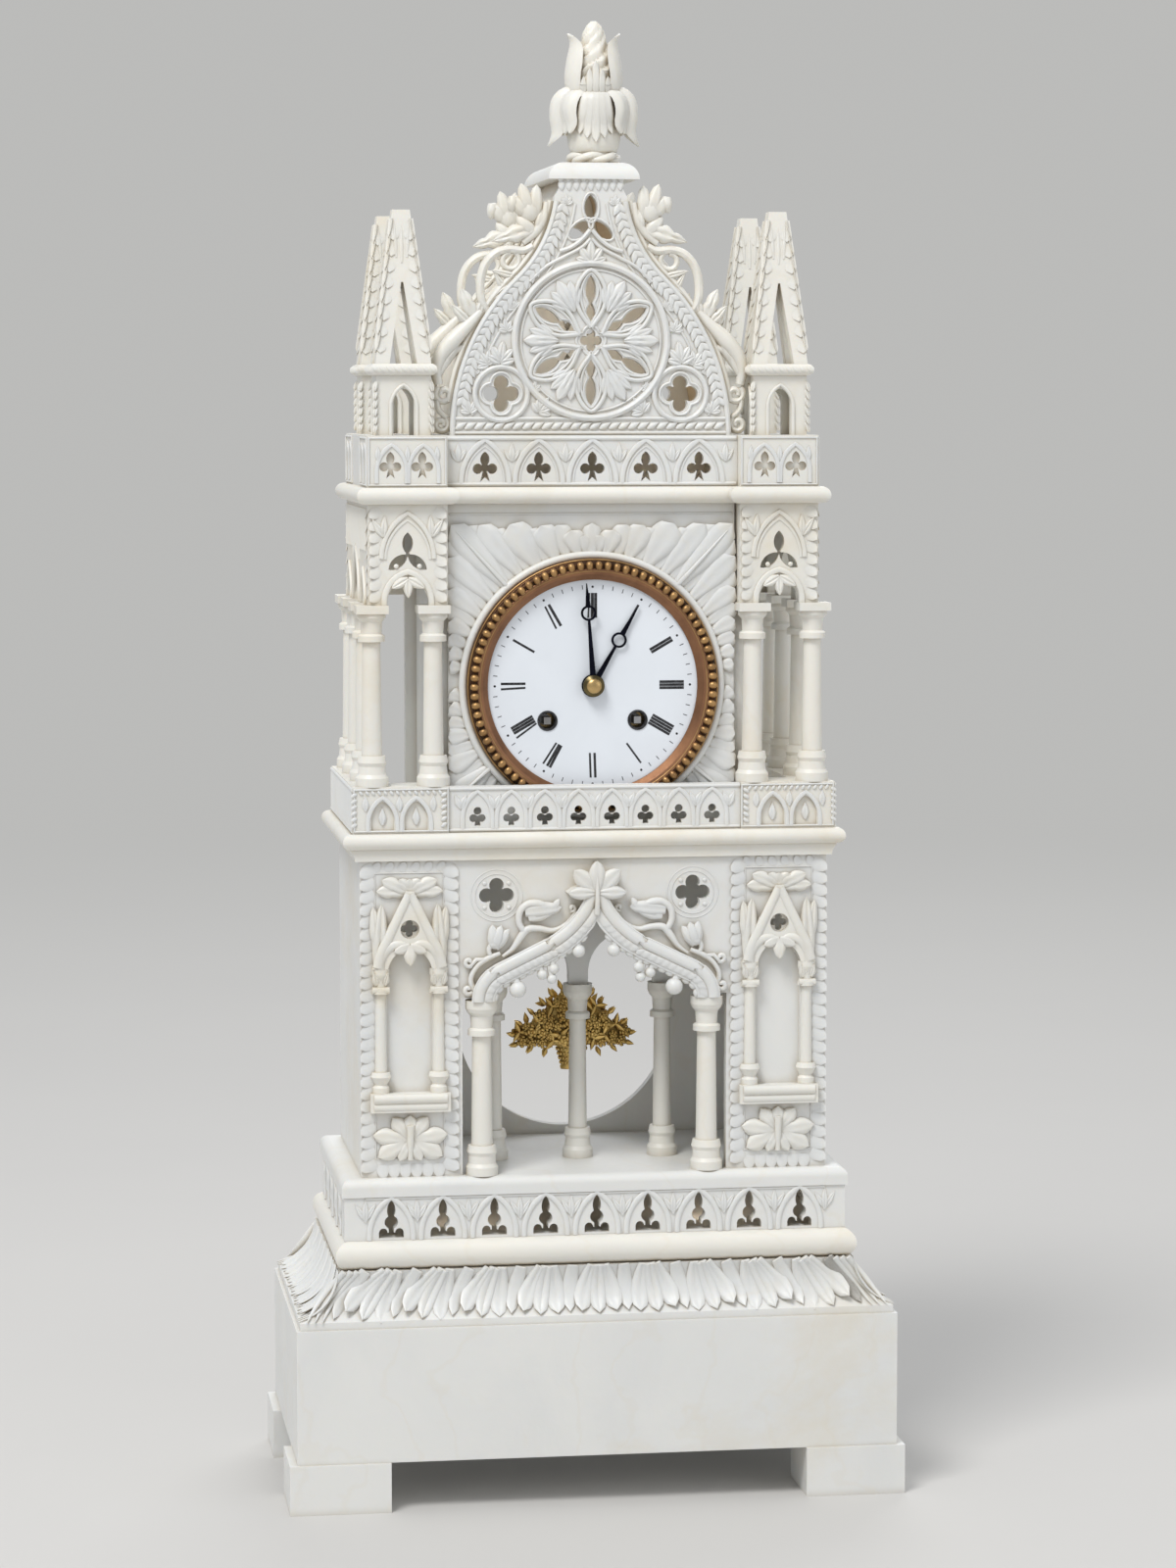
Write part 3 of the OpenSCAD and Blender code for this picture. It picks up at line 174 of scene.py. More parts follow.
def pointed_arch(half: float, height: float, steps: int = 7, sharp: float = 2.0) -> list[Flat]:
    """Line of a pointed arch from its left foot over the apex to its right foot.

    Args:
        half: Half of the arch's width.
        height: Height of the apex over the feet.
        steps: Pieces of each side's curve.
        sharp: Radius of the curve as a share of half the width; 1 gives a round arch.

    Returns:
        The points of the line.
    """
    radius = half * sharp
    spring = height - math.sqrt(radius * radius - (radius - half) ** 2)
    turn = math.degrees(math.atan2(height - spring, radius - half))
    right = [(half, 0.0)] + arc(half - radius, spring, radius, 0.0, turn, steps)
    return [(-x, y) for x, y in right] + right[-2::-1]


def smooth(points: Sequence[Sequence[float]], steps: int = 5) -> list[tuple[float, ...]]:
    """Points of a soft curve through the given ones.

    Args:
        points: Points of any one dimension.
        steps: How many pieces each stretch is cut into.

    Returns:
        The points of the curve, the given ones among them.
    """
    line = [np.array(p, float) for p in points]
    line = [2 * line[0] - line[1], *line, 2 * line[-1] - line[-2]]
    curve = []
    for a, b, c, d in zip(line, line[1:], line[2:], line[3:]):
        for i in range(steps):
            t = i / steps
            curve.append(tuple(0.5 * (2 * b + (c - a) * t + (2 * a - 5 * b + 4 * c - d) * t * t
                                      + (3 * b - a - 3 * c + d) * t ** 3)))
    return curve + [tuple(line[-2])]


def volute(cx: float, cy: float, radius: float, start: float, turns: float,
           inward: float = 0.25) -> list[Flat]:
    """Points of a spiral that winds in to its eye.

    Args:
        cx: Place of its middle across.
        cy: Place of its middle upward.
        radius: Distance from the middle at its start.
        start: Angle at its start, in degrees.
        turns: Turns that it winds, clockwise where they are negative.
        inward: Distance from the middle at its end, as a share of the radius.

    Returns:
        The points of the line.
    """
    steps = max(10, int(abs(turns) * 18))
    points = []
    for i in range(steps + 1):
        reach = radius * (1 - (1 - inward) * i / steps)
        turn = math.radians(start + 360 * turns * i / steps)
        points.append((cx + reach * math.cos(turn), cy + reach * math.sin(turn)))
    return points


def along(points: Sequence[Flat], pitch: float) -> list[Point]:
    """Even places along a line, the first and last half a pitch from its ends.

    Args:
        points: The line's points.
        pitch: Distance between places, fitted to the line.

    Returns:
        Each place as x, y and the line's direction in degrees.
    """
    spans = [math.dist(a, b) for a, b in zip(points, points[1:])]
    count = max(1, round(sum(spans) / pitch))
    step = sum(spans) / count
    places = []
    for i in range(count):
        left = step * (i + 0.5)
        for (a, b), span in zip(zip(points, points[1:]), spans):
            if left <= span + 1e-6:
                t = left / span if span else 0.0
                places.append((a[0] + (b[0] - a[0]) * t, a[1] + (b[1] - a[1]) * t,
                               math.degrees(math.atan2(b[1] - a[1], b[0] - a[0]))))
                break
            left -= span
    return places


def row(start: Flat, end: Flat, pitch: float, place: Matrix) -> list[Matrix]:
    """Even places on a straight line, each moved and turned by the same further place."""
    return [at(x, y) @ place for x, y, _ in along([start, end], pitch)]


# Bench


@dataclass(frozen=True)
class Block:
    """A shape cut once, held in millimetres, and copied into the pieces that show it."""

    verts: np.ndarray
    faces: tuple[tuple[int, ...], ...]


class Bench:
    """Cuts blocks with Blender's own modelling operators."""

    @staticmethod
    def clear() -> None:
        """Deselect everything before the next primitive."""
        if bpy.context.object and bpy.context.object.mode != "OBJECT":
            bpy.ops.object.mode_set(mode="OBJECT")
        bpy.ops.object.select_all(action="DESELECT")

    @classmethod
    def pick(cls, obj: bpy.types.Object) -> None:
        """Select one object alone and make it the active one."""
        cls.clear()
        obj.select_set(True)
        bpy.context.view_layer.objects.active = obj

    @staticmethod
    def take(obj: bpy.types.Object) -> Block:
        """Read an object's mesh as a block and clear the object away.

        Args:
            obj: The finished object.

        Returns:
            Its shape.
        """
        mesh = obj.data
        verts = np.zeros(len(mesh.vertices) * 3)
        mesh.vertices.foreach_get("co", verts)
        block = Block(verts.reshape(-1, 3), tuple(tuple(p.vertices) for p in mesh.polygons))
        bpy.data.objects.remove(obj)
        bpy.data.meshes.remove(mesh)
        return block

    @classmethod
    def loft(cls, rings: Sequence[Sequence[Point]], rounds: int = 0) -> Block:
        """Extrude a closed ring through a row of rings and close both ends.

        Args:
            rings: Rings of equal length, each a list of points.
            rounds: Levels of subdivision to round the shape.

        Returns:
            The closed shape.
        """
        cls.clear()
        bpy.ops.mesh.primitive_circle_add(vertices=len(rings[0]), radius=1.0, fill_type="NGON")
        obj = bpy.context.object
        bpy.ops.object.mode_set(mode="EDIT")
        bpy.ops.mesh.select_all(action="SELECT")
        for i, ring in enumerate(rings):
            if i:
                bpy.ops.mesh.extrude_region_move()
            shape = bmesh.from_edit_mesh(obj.data)
            cap = next(f for f in shape.faces if f.select)
            for loop, point in zip(cap.loops, ring):
                loop.vert.co = point
        bpy.ops.mesh.select_all(action="SELECT")
        bpy.ops.mesh.normals_make_consistent(inside=False)
        bpy.ops.object.mode_set(mode="OBJECT")
        if rounds:
            subsurf = obj.modifiers.new("round", "SUBSURF")
            subsurf.levels = subsurf.render_levels = rounds
            bpy.ops.object.modifier_apply(modifier="round")
        return cls.take(obj)

    @classmethod
    def rod(cls, points: Sequence[Sequence[float]], radius: float | Sequence[float],
            closed: bool = False, facets: int = 2) -> Block:
        """Round bar along a line, for ribs, stems and rings.

        Args:
            points: The line's points, flat or in space.
            radius: One radius, or one for each point.
            closed: Whether the line runs back to its start.
            facets: Bevel resolution of the round section.

        Returns:
            The bar.
        """
        curve = bpy.data.curves.new("rod", "CURVE")
        curve.dimensions = "3D"
        curve.bevel_depth = 1.0
        curve.bevel_resolution = facets
        curve.use_fill_caps = not closed
        spline = curve.splines.new("POLY")
        spline.points.add(len(points) - 1)
        radii = [radius] * len(points) if isinstance(radius, (int, float)) else list(radius)
        for knot, place, r in zip(spline.points, points, radii):
            knot.co = (place[0], place[1], place[2] if len(place) > 2 else 0.0, 1.0)
            knot.radius = r
        spline.use_cyclic_u = closed
        obj = bpy.data.objects.new("rod", curve)
        bpy.context.scene.collection.objects.link(obj)
        cls.pick(obj)
        bpy.ops.object.convert(target="MESH")
        return cls.take(bpy.context.object)

    @classmethod
    def bar(cls, half: float, radius: float) -> Block:
        """Straight round bar across a face, with its middle at the origin."""
        return cls.rod([(-half, 0), (half, 0)], radius)

    @classmethod
    def hoop(cls, radius: float, thick: float, count: int = 36, facets: int = 2) -> Block:
        """Ring of round section about the origin, cut in count places."""
        return cls.rod(arc(0, 0, radius, 0, 360 - 360 // count, count - 1), thick, True, facets)

    @classmethod
    def draw_out(cls, size: Point, ease: float = 0.0) -> Block:
        """Stretch the primitive just added, ease its edges and take it from the bench.

        Args:
            size: How many times it grows along each axis.
            ease: Width of the bevel along its edges, 0 for none.

        Returns:
            The finished shape.
        """
        obj = bpy.context.object
        bpy.ops.object.mode_set(mode="EDIT")
        bpy.ops.mesh.select_all(action="SELECT")
        bpy.ops.transform.resize(value=size)
        if ease:
            bpy.ops.mesh.bevel(offset=ease, segments=2)
        bpy.ops.object.mode_set(mode="OBJECT")
        return cls.take(obj)

    @classmethod
    def bead(cls, size: Point, segments: int = 10, rings: int = 6) -> Block:
        """Pearl drawn out to three half-sizes."""
        cls.clear()
        bpy.ops.mesh.primitive_uv_sphere_add(segments=segments, ring_count=rings, radius=1.0)
        return cls.draw_out(size)

    @classmethod
    def slab(cls, size: Point) -> Block:
        """Flat bar of a width, length and height, with eased edges."""
        cls.clear()
        bpy.ops.mesh.primitive_cube_add(size=1.0)
        return cls.draw_out(size, EASE * min(size))

    @classmethod
    def turned(cls, profile: Sequence[Flat], steps: int = 40) -> Block:
        """Spin a profile of radius and height about the upright axis."""
        turns = [2 * math.pi * i / steps for i in range(steps)]
        return cls.loft([[(r * math.cos(turn), r * math.sin(turn), z) for turn in turns] for r, z in profile])


@dataclass(frozen=True)
class Leaf:
    """One carved leaf growing along y from its foot, its face towards z.

    Attributes:
        length: Length from foot to tip.
        width: Greatest width.
        rise: Height of the leaf's back over its bed.
        curl: How far the tip stands away from the bed.
        groove: Depth of the middle vein as a share of the rise.
        lobes: Number of scallops along each edge.
        foot: Width of the foot as a share of the width.
        point: Fullness of the tip, small for a round one.
        rows: Cuts along the leaf.
        half: Cuts across half of the leaf.
        belly: Where the leaf is widest, as a share of the length.
        turned: Whether the face looks to the other side of the bed.
    """

    length: float
    width: float
    rise: float
    curl: float = 0.0
    groove: float = 0.4
    lobes: int = 0
    foot: float = 0.3
    point: float = 0.75
    rows: int = 8
    half: int = 3
    belly: float = 0.42
    turned: bool = False

    def spread(self, u: float) -> float:
        """Half-width of the leaf.

        Args:
            u: Share of the length, 0 at the foot and 1 at the tip.

        Returns:
            The half-width there.
        """
        if u < self.belly:
            share = self.foot + (1 - self.foot) * math.sin(0.5 * math.pi * u / self.belly)
        else:
            share = max(0.0, (1 - u) / (1 - self.belly)) ** self.point
        if self.lobes:
            share *= 0.7 + 0.3 * abs(math.sin(math.pi * self.lobes * (u + 0.02)))
        return max(0.03, share) * self.width / 2

    def cut(self, path: Callable[[float], Flat] | None = None) -> Block:
        """Cut the leaf.

        Args:
            path: Where the leaf's bed runs, as y and z for a share of the length.

        Returns:
            The leaf as a closed block.
        """
        rings = []
        for i in range(self.rows + 1):
            u = i / self.rows
            half_width = self.spread(u)
            back = 0.35 + 0.65 * math.sin(math.pi * min(1.0, u * 0.8 + 0.12))
            swell = self.rise * back * (1 - 0.55 * u ** 4)
            if path:
                y, bed = path(u)
                ya, za = path(max(0.0, u - 0.02))
                yb, zb = path(min(1.0, u + 0.02))
                span = math.hypot(yb - ya, zb - za)
                span *= -1 if self.turned else 1
                normal = (-(zb - za) / span, (yb - ya) / span)
            else:
                y, bed = self.length * u, self.curl * u ** 2.4
                normal = (0.0, 1.0)
            rib = 0.16 * math.cos(2 * math.pi * self.lobes * u) if self.lobes else 0.0
            ring = []
            for j in range(-self.half, self.half + 1):
                v = j / self.half
                crown = (1 - v * v) ** 0.6 * (1 - self.groove * math.exp(-(v / 0.28) ** 2))
                lift = swell * (crown + rib * abs(v) * (1 - abs(v)) * 2)
                ring.append((v * half_width, y + normal[0] * lift, bed + normal[1] * lift))
            under = 0.35 if self.curl or path else 0.5
            for j in range(self.half - 1, -self.half, -1):
                v = j / self.half
                ring.append((v * half_width, y - normal[0] * under, bed - normal[1] * under))
            rings.append(ring)
        return Bench.loft(rings)


class Carving:
    """Copies of blocks gathered in millimetres and cut free as one piece."""

    def __init__(self, name: str) -> None:
        """Start an empty carving of that name."""
        self.name = name
        self.verts: list[np.ndarray] = []
        self.faces: list[tuple[int, ...]] = []
        self.count = 0

    def add(self, block: Block, *places: Matrix) -> None:
        """Add a copy of a block at each place.

        Args:
            block: The shape.
            places: Where its copies lie in the clock's frame.
        """
        for place in places:
            turn = np.array(place.to_3x3())
            self.verts.append(block.verts @ turn.T + np.array(place.translation))
            base = self.count
            inside_out = place.to_3x3().determinant() < 0
            for polygon in block.faces:
                self.faces.append(tuple(base + i for i in (reversed(polygon) if inside_out else polygon)))
            self.count += len(block.verts)

    def piece(self, body: str, slot: Slot, material: bpy.types.Material, *replaced: str,
              crease: float = 38.0) -> bpy.types.Object:
        """Cut the carving free as one object that rides on a body.

        Args:
            body: Body of the frame that carries the piece.
            slot: Material slot of the record; not used.
            material: Finish of the piece.
            replaced: Nodes that the piece stands for.
            crease: Angle over which an edge stays sharp, in degrees.

        Returns:
            The finished object.
        """
        mesh = bpy.data.meshes.new(self.name)
        mesh.from_pydata((np.concatenate(self.verts) * MM).tolist(), [], self.faces)
        mesh.materials.append(material)
        obj = bpy.data.objects.new(self.name, mesh)
        bpy.context.scene.collection.objects.link(obj)
        Bench.pick(obj)
        bpy.ops.object.shade_smooth_by_angle(angle=math.radians(crease))
        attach(obj, body)
        if replaced:
            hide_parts(*replaced)
        LOG.info("%s: %d faces on %s", self.name, len(self.faces), body)
        return obj


# Finishes


class Recipe:
    """Small helper that wires one material's nodes."""

    def __init__(self, name: str) -> None:
        """Start a material with its shader and object coordinates."""
        self.material = bpy.data.materials.new(name)
        self.material.use_nodes = True
        self.tree = self.material.node_tree
        self.shader = self.tree.nodes["Principled BSDF"]
        self.coords = self.tree.nodes.new("ShaderNodeTexCoord").outputs["Object"]

    def feed(self, socket: bpy.types.NodeSocket, value: object) -> None:
        """Link a value to a socket, or set it where it is a plain one."""
        if isinstance(value, bpy.types.NodeSocket):
            self.tree.links.new(value, socket)
        else:
            socket.default_value = value

    def node(self, kind: str, **inputs: object) -> bpy.types.Node:
        """Add a node.

        Args:
            kind: Blender's name of the node's type.
            inputs: Values for its inputs by name, with _ for a space.

        Returns:
            The node.
        """
        made = self.tree.nodes.new(kind)
        for key, value in inputs.items():
            self.feed(made.inputs[key.replace("_", " ")], value)
        return made

    def noise(self, scale: float, detail: float = 4.0, rough: float = 0.55,
              warp: float = 0.0) -> bpy.types.NodeSocket:
        """Noise over the piece, its scale in lumps a metre."""
        return self.node("ShaderNodeTexNoise", Vector=self.coords, Scale=scale, Detail=detail,
                         Roughness=rough, Distortion=warp).outputs["Fac"]

    def band(self, value: bpy.types.NodeSocket, low: float, high: float, out_low: float = 0.0,
             out_high: float = 1.0) -> bpy.types.NodeSocket:
        """Map a range of values onto another, held at its ends."""
        return self.node("ShaderNodeMapRange", Value=value, From_Min=low, From_Max=high,
                         To_Min=out_low, To_Max=out_high).outputs["Result"]

    def mix(self, share: bpy.types.NodeSocket, a: object, b: object) -> bpy.types.NodeSocket:
        """Mix two colours by a share.

        Args:
            share: Share of the second colour.
            a: First colour, a socket or three numbers.
            b: Second colour, a socket or three numbers.

        Returns:
            The mixed colour.
        """
        made = self.tree.nodes.new("ShaderNodeMix")
        made.data_type = "RGBA"
        self.feed(made.inputs[0], share)
        for socket, colour in ((made.inputs[6], a), (made.inputs[7], b)):
            self.feed(socket, colour if isinstance(colour, bpy.types.NodeSocket) else (*colour, 1.0))
        return made.outputs[2]

    def times(self, a: bpy.types.NodeSocket, b: bpy.types.NodeSocket) -> bpy.types.NodeSocket:
        """Multiply two values.

        Args:
            a: First value.
            b: Second value.

        Returns:
            Their product.
        """
        made = self.tree.nodes.new("ShaderNodeMath")
        made.operation = "MULTIPLY"
        self.feed(made.inputs[0], a)
        self.feed(made.inputs[1], b)
        return made.outputs[0]

    def shelter(self, distance: float) -> bpy.types.NodeSocket:
        """How open the surface lies, 1 in the open and 0 deep in a hollow."""
        made = self.node("ShaderNodeAmbientOcclusion", Distance=distance)
        made.samples = 6
        return made.outputs["AO"]

    def shade(self, **inputs: object) -> None:
        """Set or link the shader's inputs by name, with _ for a space."""
        for key, value in inputs.items():
            self.feed(self.shader.inputs[key.replace("_", " ")], value)

    def bump(self, height: bpy.types.NodeSocket, strength: float, distance: float) -> None:
        """Give the shader a bump from a height."""
        made = self.node("ShaderNodeBump", Height=height, Strength=strength, Distance=distance)
        self.shade(Normal=made.outputs["Normal"])


@dataclass(frozen=True)
class Alabaster:
    """Carved alabaster: milky, faintly veined, with warm dust and painted shade in its hollows.

    Attributes:
        name: Name of the material.
        pale: Colour of the open surface.
        cool: Colour of the greyer clouds.
        warm: Colour of the age-stained parts.
        dust_and_shade: Colour deep in the carving, of real dust and painted shade.
        gloss: Roughness of the polish.
        wear: How strong the stains are, from 0 to 1.
        outside: Colour of the faces that look up, where it isn't the same; the darker colours then left on
            the other faces are painted shade.
    """

    name: str = "alabaster"
    pale: Point = (0.80, 0.80, 0.775)
    cool: Point = (0.755, 0.76, 0.745)
    warm: Point = (0.72, 0.65, 0.51)
    dust_and_shade: Point = (0.46, 0.385, 0.27)
    gloss: float = 0.42
    wear: float = 0.62
    outside: Point | None = None

    def mix(self) -> bpy.types.Material:
        """Wire the stone."""
        recipe = Recipe(self.name)
        clouds = recipe.band(recipe.noise(14.0, 5.0, 0.6, 0.8), 0.4, 0.66)
        stone = recipe.mix(clouds, self.pale, self.cool)
        # Faces that look up take the outside colour; the others keep the darker colours, which paint shade on
        # the lower and inner faces.
        if self.outside is not None:
            normal = recipe.node("ShaderNodeNewGeometry").outputs["Normal"]
            upward = recipe.node("ShaderNodeSeparateXYZ", Vector=normal).outputs["Z"]
            stone = recipe.mix(recipe.band(upward, -0.05, 0.05), stone, self.outside)
        stain = recipe.band(recipe.noise(9.0, 6.0, 0.65, 0.4), 0.53, 0.74, 0.0, self.wear)
        stone = recipe.mix(stain, stone, self.warm)
        vein = recipe.node("ShaderNodeTexWave", Vector=recipe.coords, Scale=9.0, Distortion=14.0, Detail=5.0)
        vein.inputs["Detail Scale"].default_value = 1.6
        thread = recipe.band(vein.outputs["Fac"], 0.965, 1.0, 0.0, 0.12)
        stone = recipe.mix(thread, stone, self.warm)
        # Ambient occlusion darkens the hollows towards the dust colour: painted shade in the carving, with
        # some real dust.
        hollow = recipe.band(recipe.shelter(0.005), 0.22, 0.82, 0.62, 0.0)
        stone = recipe.mix(hollow, stone, self.dust_and_shade)
        grain = recipe.noise(420.0, 5.0, 0.6)
        polish = recipe.band(grain, 0.3, 0.7, self.gloss - 0.08, self.gloss + 0.12)
        recipe.bump(grain, 0.12, 0.0006)
        recipe.shade(Base_Color=stone, Roughness=polish, IOR=1.52, Subsurface_Weight=0.12,
                     Subsurface_Radius=(0.004, 0.003, 0.002), Subsurface_Scale=1.0)
        return recipe.material


@dataclass(frozen=True)
class Metal:
    """Worn metal with tarnish in its hollows.

    Attributes:
        name: Name of the material.
        bright: Colour of the rubbed metal.
        dull: Colour of the tarnish.
        gloss: Roughness of the rubbed metal.
        grain: Lumps a metre of the wear.
        hollows: How strongly the hollows darken.
    """

    name: str
    bright: Point
    dull: Point
    gloss: float
    grain: float = 260.0
    hollows: float = 0.8

    def mix(self) -> bpy.types.Material:
        """Wire the metal."""
        recipe = Recipe(self.name)
        wear = recipe.noise(self.grain, 5.0, 0.6)
        patches = recipe.band(recipe.noise(self.grain * 0.2, 4.0), 0.38, 0.68)
        colour = recipe.mix(patches, self.bright, self.dull)
        hollow = recipe.band(recipe.shelter(0.004), 0.25, 0.85, self.hollows, 0.0)
        colour = recipe.mix(hollow, colour, tuple(c * 0.35 for c in self.dull))
        rubbed = recipe.band(wear, 0.3, 0.7, self.gloss - 0.06, self.gloss + 0.16)
        recipe.bump(wear, 0.08, 0.0004)
        recipe.shade(Base_Color=colour, Roughness=rubbed, Metallic=1.0)
        return recipe.material


@dataclass(frozen=True)
class Enamel:
    """White dial enamel, a touch blue, with faint specks."""

    name: str = "enamel"
    white: Point = (0.85, 0.895, 0.95)
    speck: Point = (0.45, 0.45, 0.47)

    def mix(self) -> bpy.types.Material:
        """Wire the enamel."""
        recipe = Recipe(self.name)
        cells = recipe.node("ShaderNodeTexVoronoi", Vector=recipe.coords, Scale=260.0).outputs["Distance"]
        specks = recipe.band(cells, 0.03, 0.09, 0.55, 0.0)
        rare = recipe.band(recipe.noise(70.0), 0.6, 0.7)
        shadow = tuple(c * 0.95 for c in self.white)
        tone = recipe.mix(recipe.band(recipe.noise(30.0), 0.35, 0.7), self.white, shadow)
        recipe.bump(recipe.noise(24.0, 2.0), 0.05, 0.0006)
        recipe.shade(Base_Color=recipe.mix(recipe.times(specks, rare), tone, self.speck),
                     Roughness=recipe.band(recipe.noise(180.0), 0.3, 0.7, 0.12, 0.24))
        return recipe.material


@dataclass(frozen=True)
class Ink:
    """Fired black of the numerals, a little rubbed."""

    name: str = "dial_black"
    black: Point = (0.012, 0.012, 0.014)
    rubbed: Point = (0.06, 0.06, 0.065)

    def mix(self) -> bpy.types.Material:
        """Wire the black."""
        recipe = Recipe(self.name)
        worn = recipe.band(recipe.noise(900.0), 0.45, 0.7)
        recipe.shade(Base_Color=recipe.mix(worn, self.black, self.rubbed),
                     Roughness=recipe.band(recipe.noise(500.0), 0.3, 0.7, 0.25, 0.45))
        return recipe.material


class Finishes:
    """Every finish of the clock, mixed once."""

    def __init__(self) -> None:
        """Mix the finishes."""
        self.stone = Alabaster().mix()
        self.cream = Alabaster("alabaster_cream", (0.835, 0.81, 0.74), (0.79, 0.782, 0.735),
                               (0.75, 0.66, 0.49), (0.46, 0.375, 0.25), 0.4, 0.85).mix()
        # The roof stone's inner faces are a dim warm brown, painted shade of the closed crown seen through
        # the piercings; its upward faces are the pale stone.
        self.roof = Alabaster("roof_stone", (0.70, 0.57, 0.40), (0.64, 0.54, 0.41),
                              (0.52, 0.38, 0.22), (0.34, 0.24, 0.13), 0.55,
                              outside=(0.80, 0.77, 0.70)).mix()
        self.bezel = Metal("bezel_brass", (0.36, 0.185, 0.10), (0.25, 0.13, 0.075), 0.42, 340.0).mix()
        self.pearl = Metal("pearl_brass", (0.52, 0.32, 0.14), (0.34, 0.2, 0.09), 0.44, 500.0, 0.95).mix()
        # Near-black brass for the ring under the bezel's pearls: painted shade in the gaps between them.
        self.pearl_gap_shade = Metal("bezel_painted_gap_shade", (0.09, 0.045, 0.025), (0.05, 0.028, 0.016),
                            0.5, 500.0, 0.9).mix()
        self.brass = Metal("movement_brass", (0.74, 0.53, 0.24), (0.52, 0.36, 0.16), 0.26, 240.0, 0.5).mix()
        self.gilt = Metal("gilt_bronze", (0.95, 0.68, 0.25), (0.6, 0.39, 0.12), 0.36, 420.0, 0.9).mix()
        self.bell = Metal("bell_metal", (0.62, 0.52, 0.34), (0.45, 0.37, 0.24), 0.2, 160.0, 0.4).mix()
        self.steel = Metal("steel", (0.46, 0.46, 0.47), (0.3, 0.29, 0.28), 0.28, 300.0, 0.5).mix()
        self.blued = Metal("blued_steel", (0.012, 0.013, 0.024), (0.008, 0.008, 0.011),
                            0.28, 600.0, 0.3).mix()
        self.collet = Metal("collet_brass", (0.2, 0.16, 0.07), (0.08, 0.065, 0.035), 0.3, 500.0).mix()
        self.enamel = Enamel().mix()
        self.ink = Ink().mix()

    def dress_frame(self) -> None:
        """Give each node of the frame its finish."""
        by_slot = {Slot.ALABASTER: self.stone, Slot.ROOF: self.roof, Slot.BRASS: self.brass,
                   Slot.GILT: self.gilt, Slot.BELL: self.bell, Slot.STEEL: self.steel,
                   Slot.BLUED: self.blued, Slot.ENAMEL: self.enamel}
        special = {"bezel": self.bezel, "hand_collet": self.collet}
        stained = ("column", "cornice", "turret", "pinnacle", "pedestal", "corner_block", "torus",
                   "spire", "niche")
        for part in frame["record"]["subparts"]:
            name = part["node"]
            finish = special.get(name, by_slot[Slot(part["material_slot"])])
            if finish is self.stone and any(word in name for word in stained):
                finish = self.cream
            materials = frame["nodes"][name].data.materials
            materials.clear()
            materials.append(finish)


# Base


@dataclass
class SubAssembly:
    """A sub-assembly of the clock, which cuts its carving piece by piece.

    Attributes:
        finish: The clock's finishes.
        carving: The piece that is being cut.
        bed: Frame of the places that are given, in the clock's frame.
    """

    finish: Finishes
    carving: Carving = field(init=False)
    bed: Matrix = field(init=False)

    def start(self, name: str, bed: Matrix) -> None:
        """Start a new piece on a bed."""
        self.carving, self.bed = Carving(name), bed

    def lay(self, block: Block, *places: Matrix) -> None:
        """Lay a copy of a block at each place on the bed, or where it was cut."""
        self.carving.add(block, *(self.bed @ place for place in places or (at(0, 0),)))

    def both(self, block: Block, *places: Matrix) -> None:
        """Lay a block on the right half of the bed and its mirror image on the left half."""
        for place in places or (at(0, 0),):
            self.lay(block, place, flipped() @ place)

    def fan(self, block: Block, place: Matrix, turn: float) -> None:
        """Lay a leaf leaning to one side and, unless it stands upright, to the other."""
        for lean in (turn, -turn) if turn else (turn,):
            self.lay(block, place @ at(0, 0, 0, lean))

    def build(self) -> None:
        """Cut the sub-assembly's pieces."""
        raise NotImplementedError


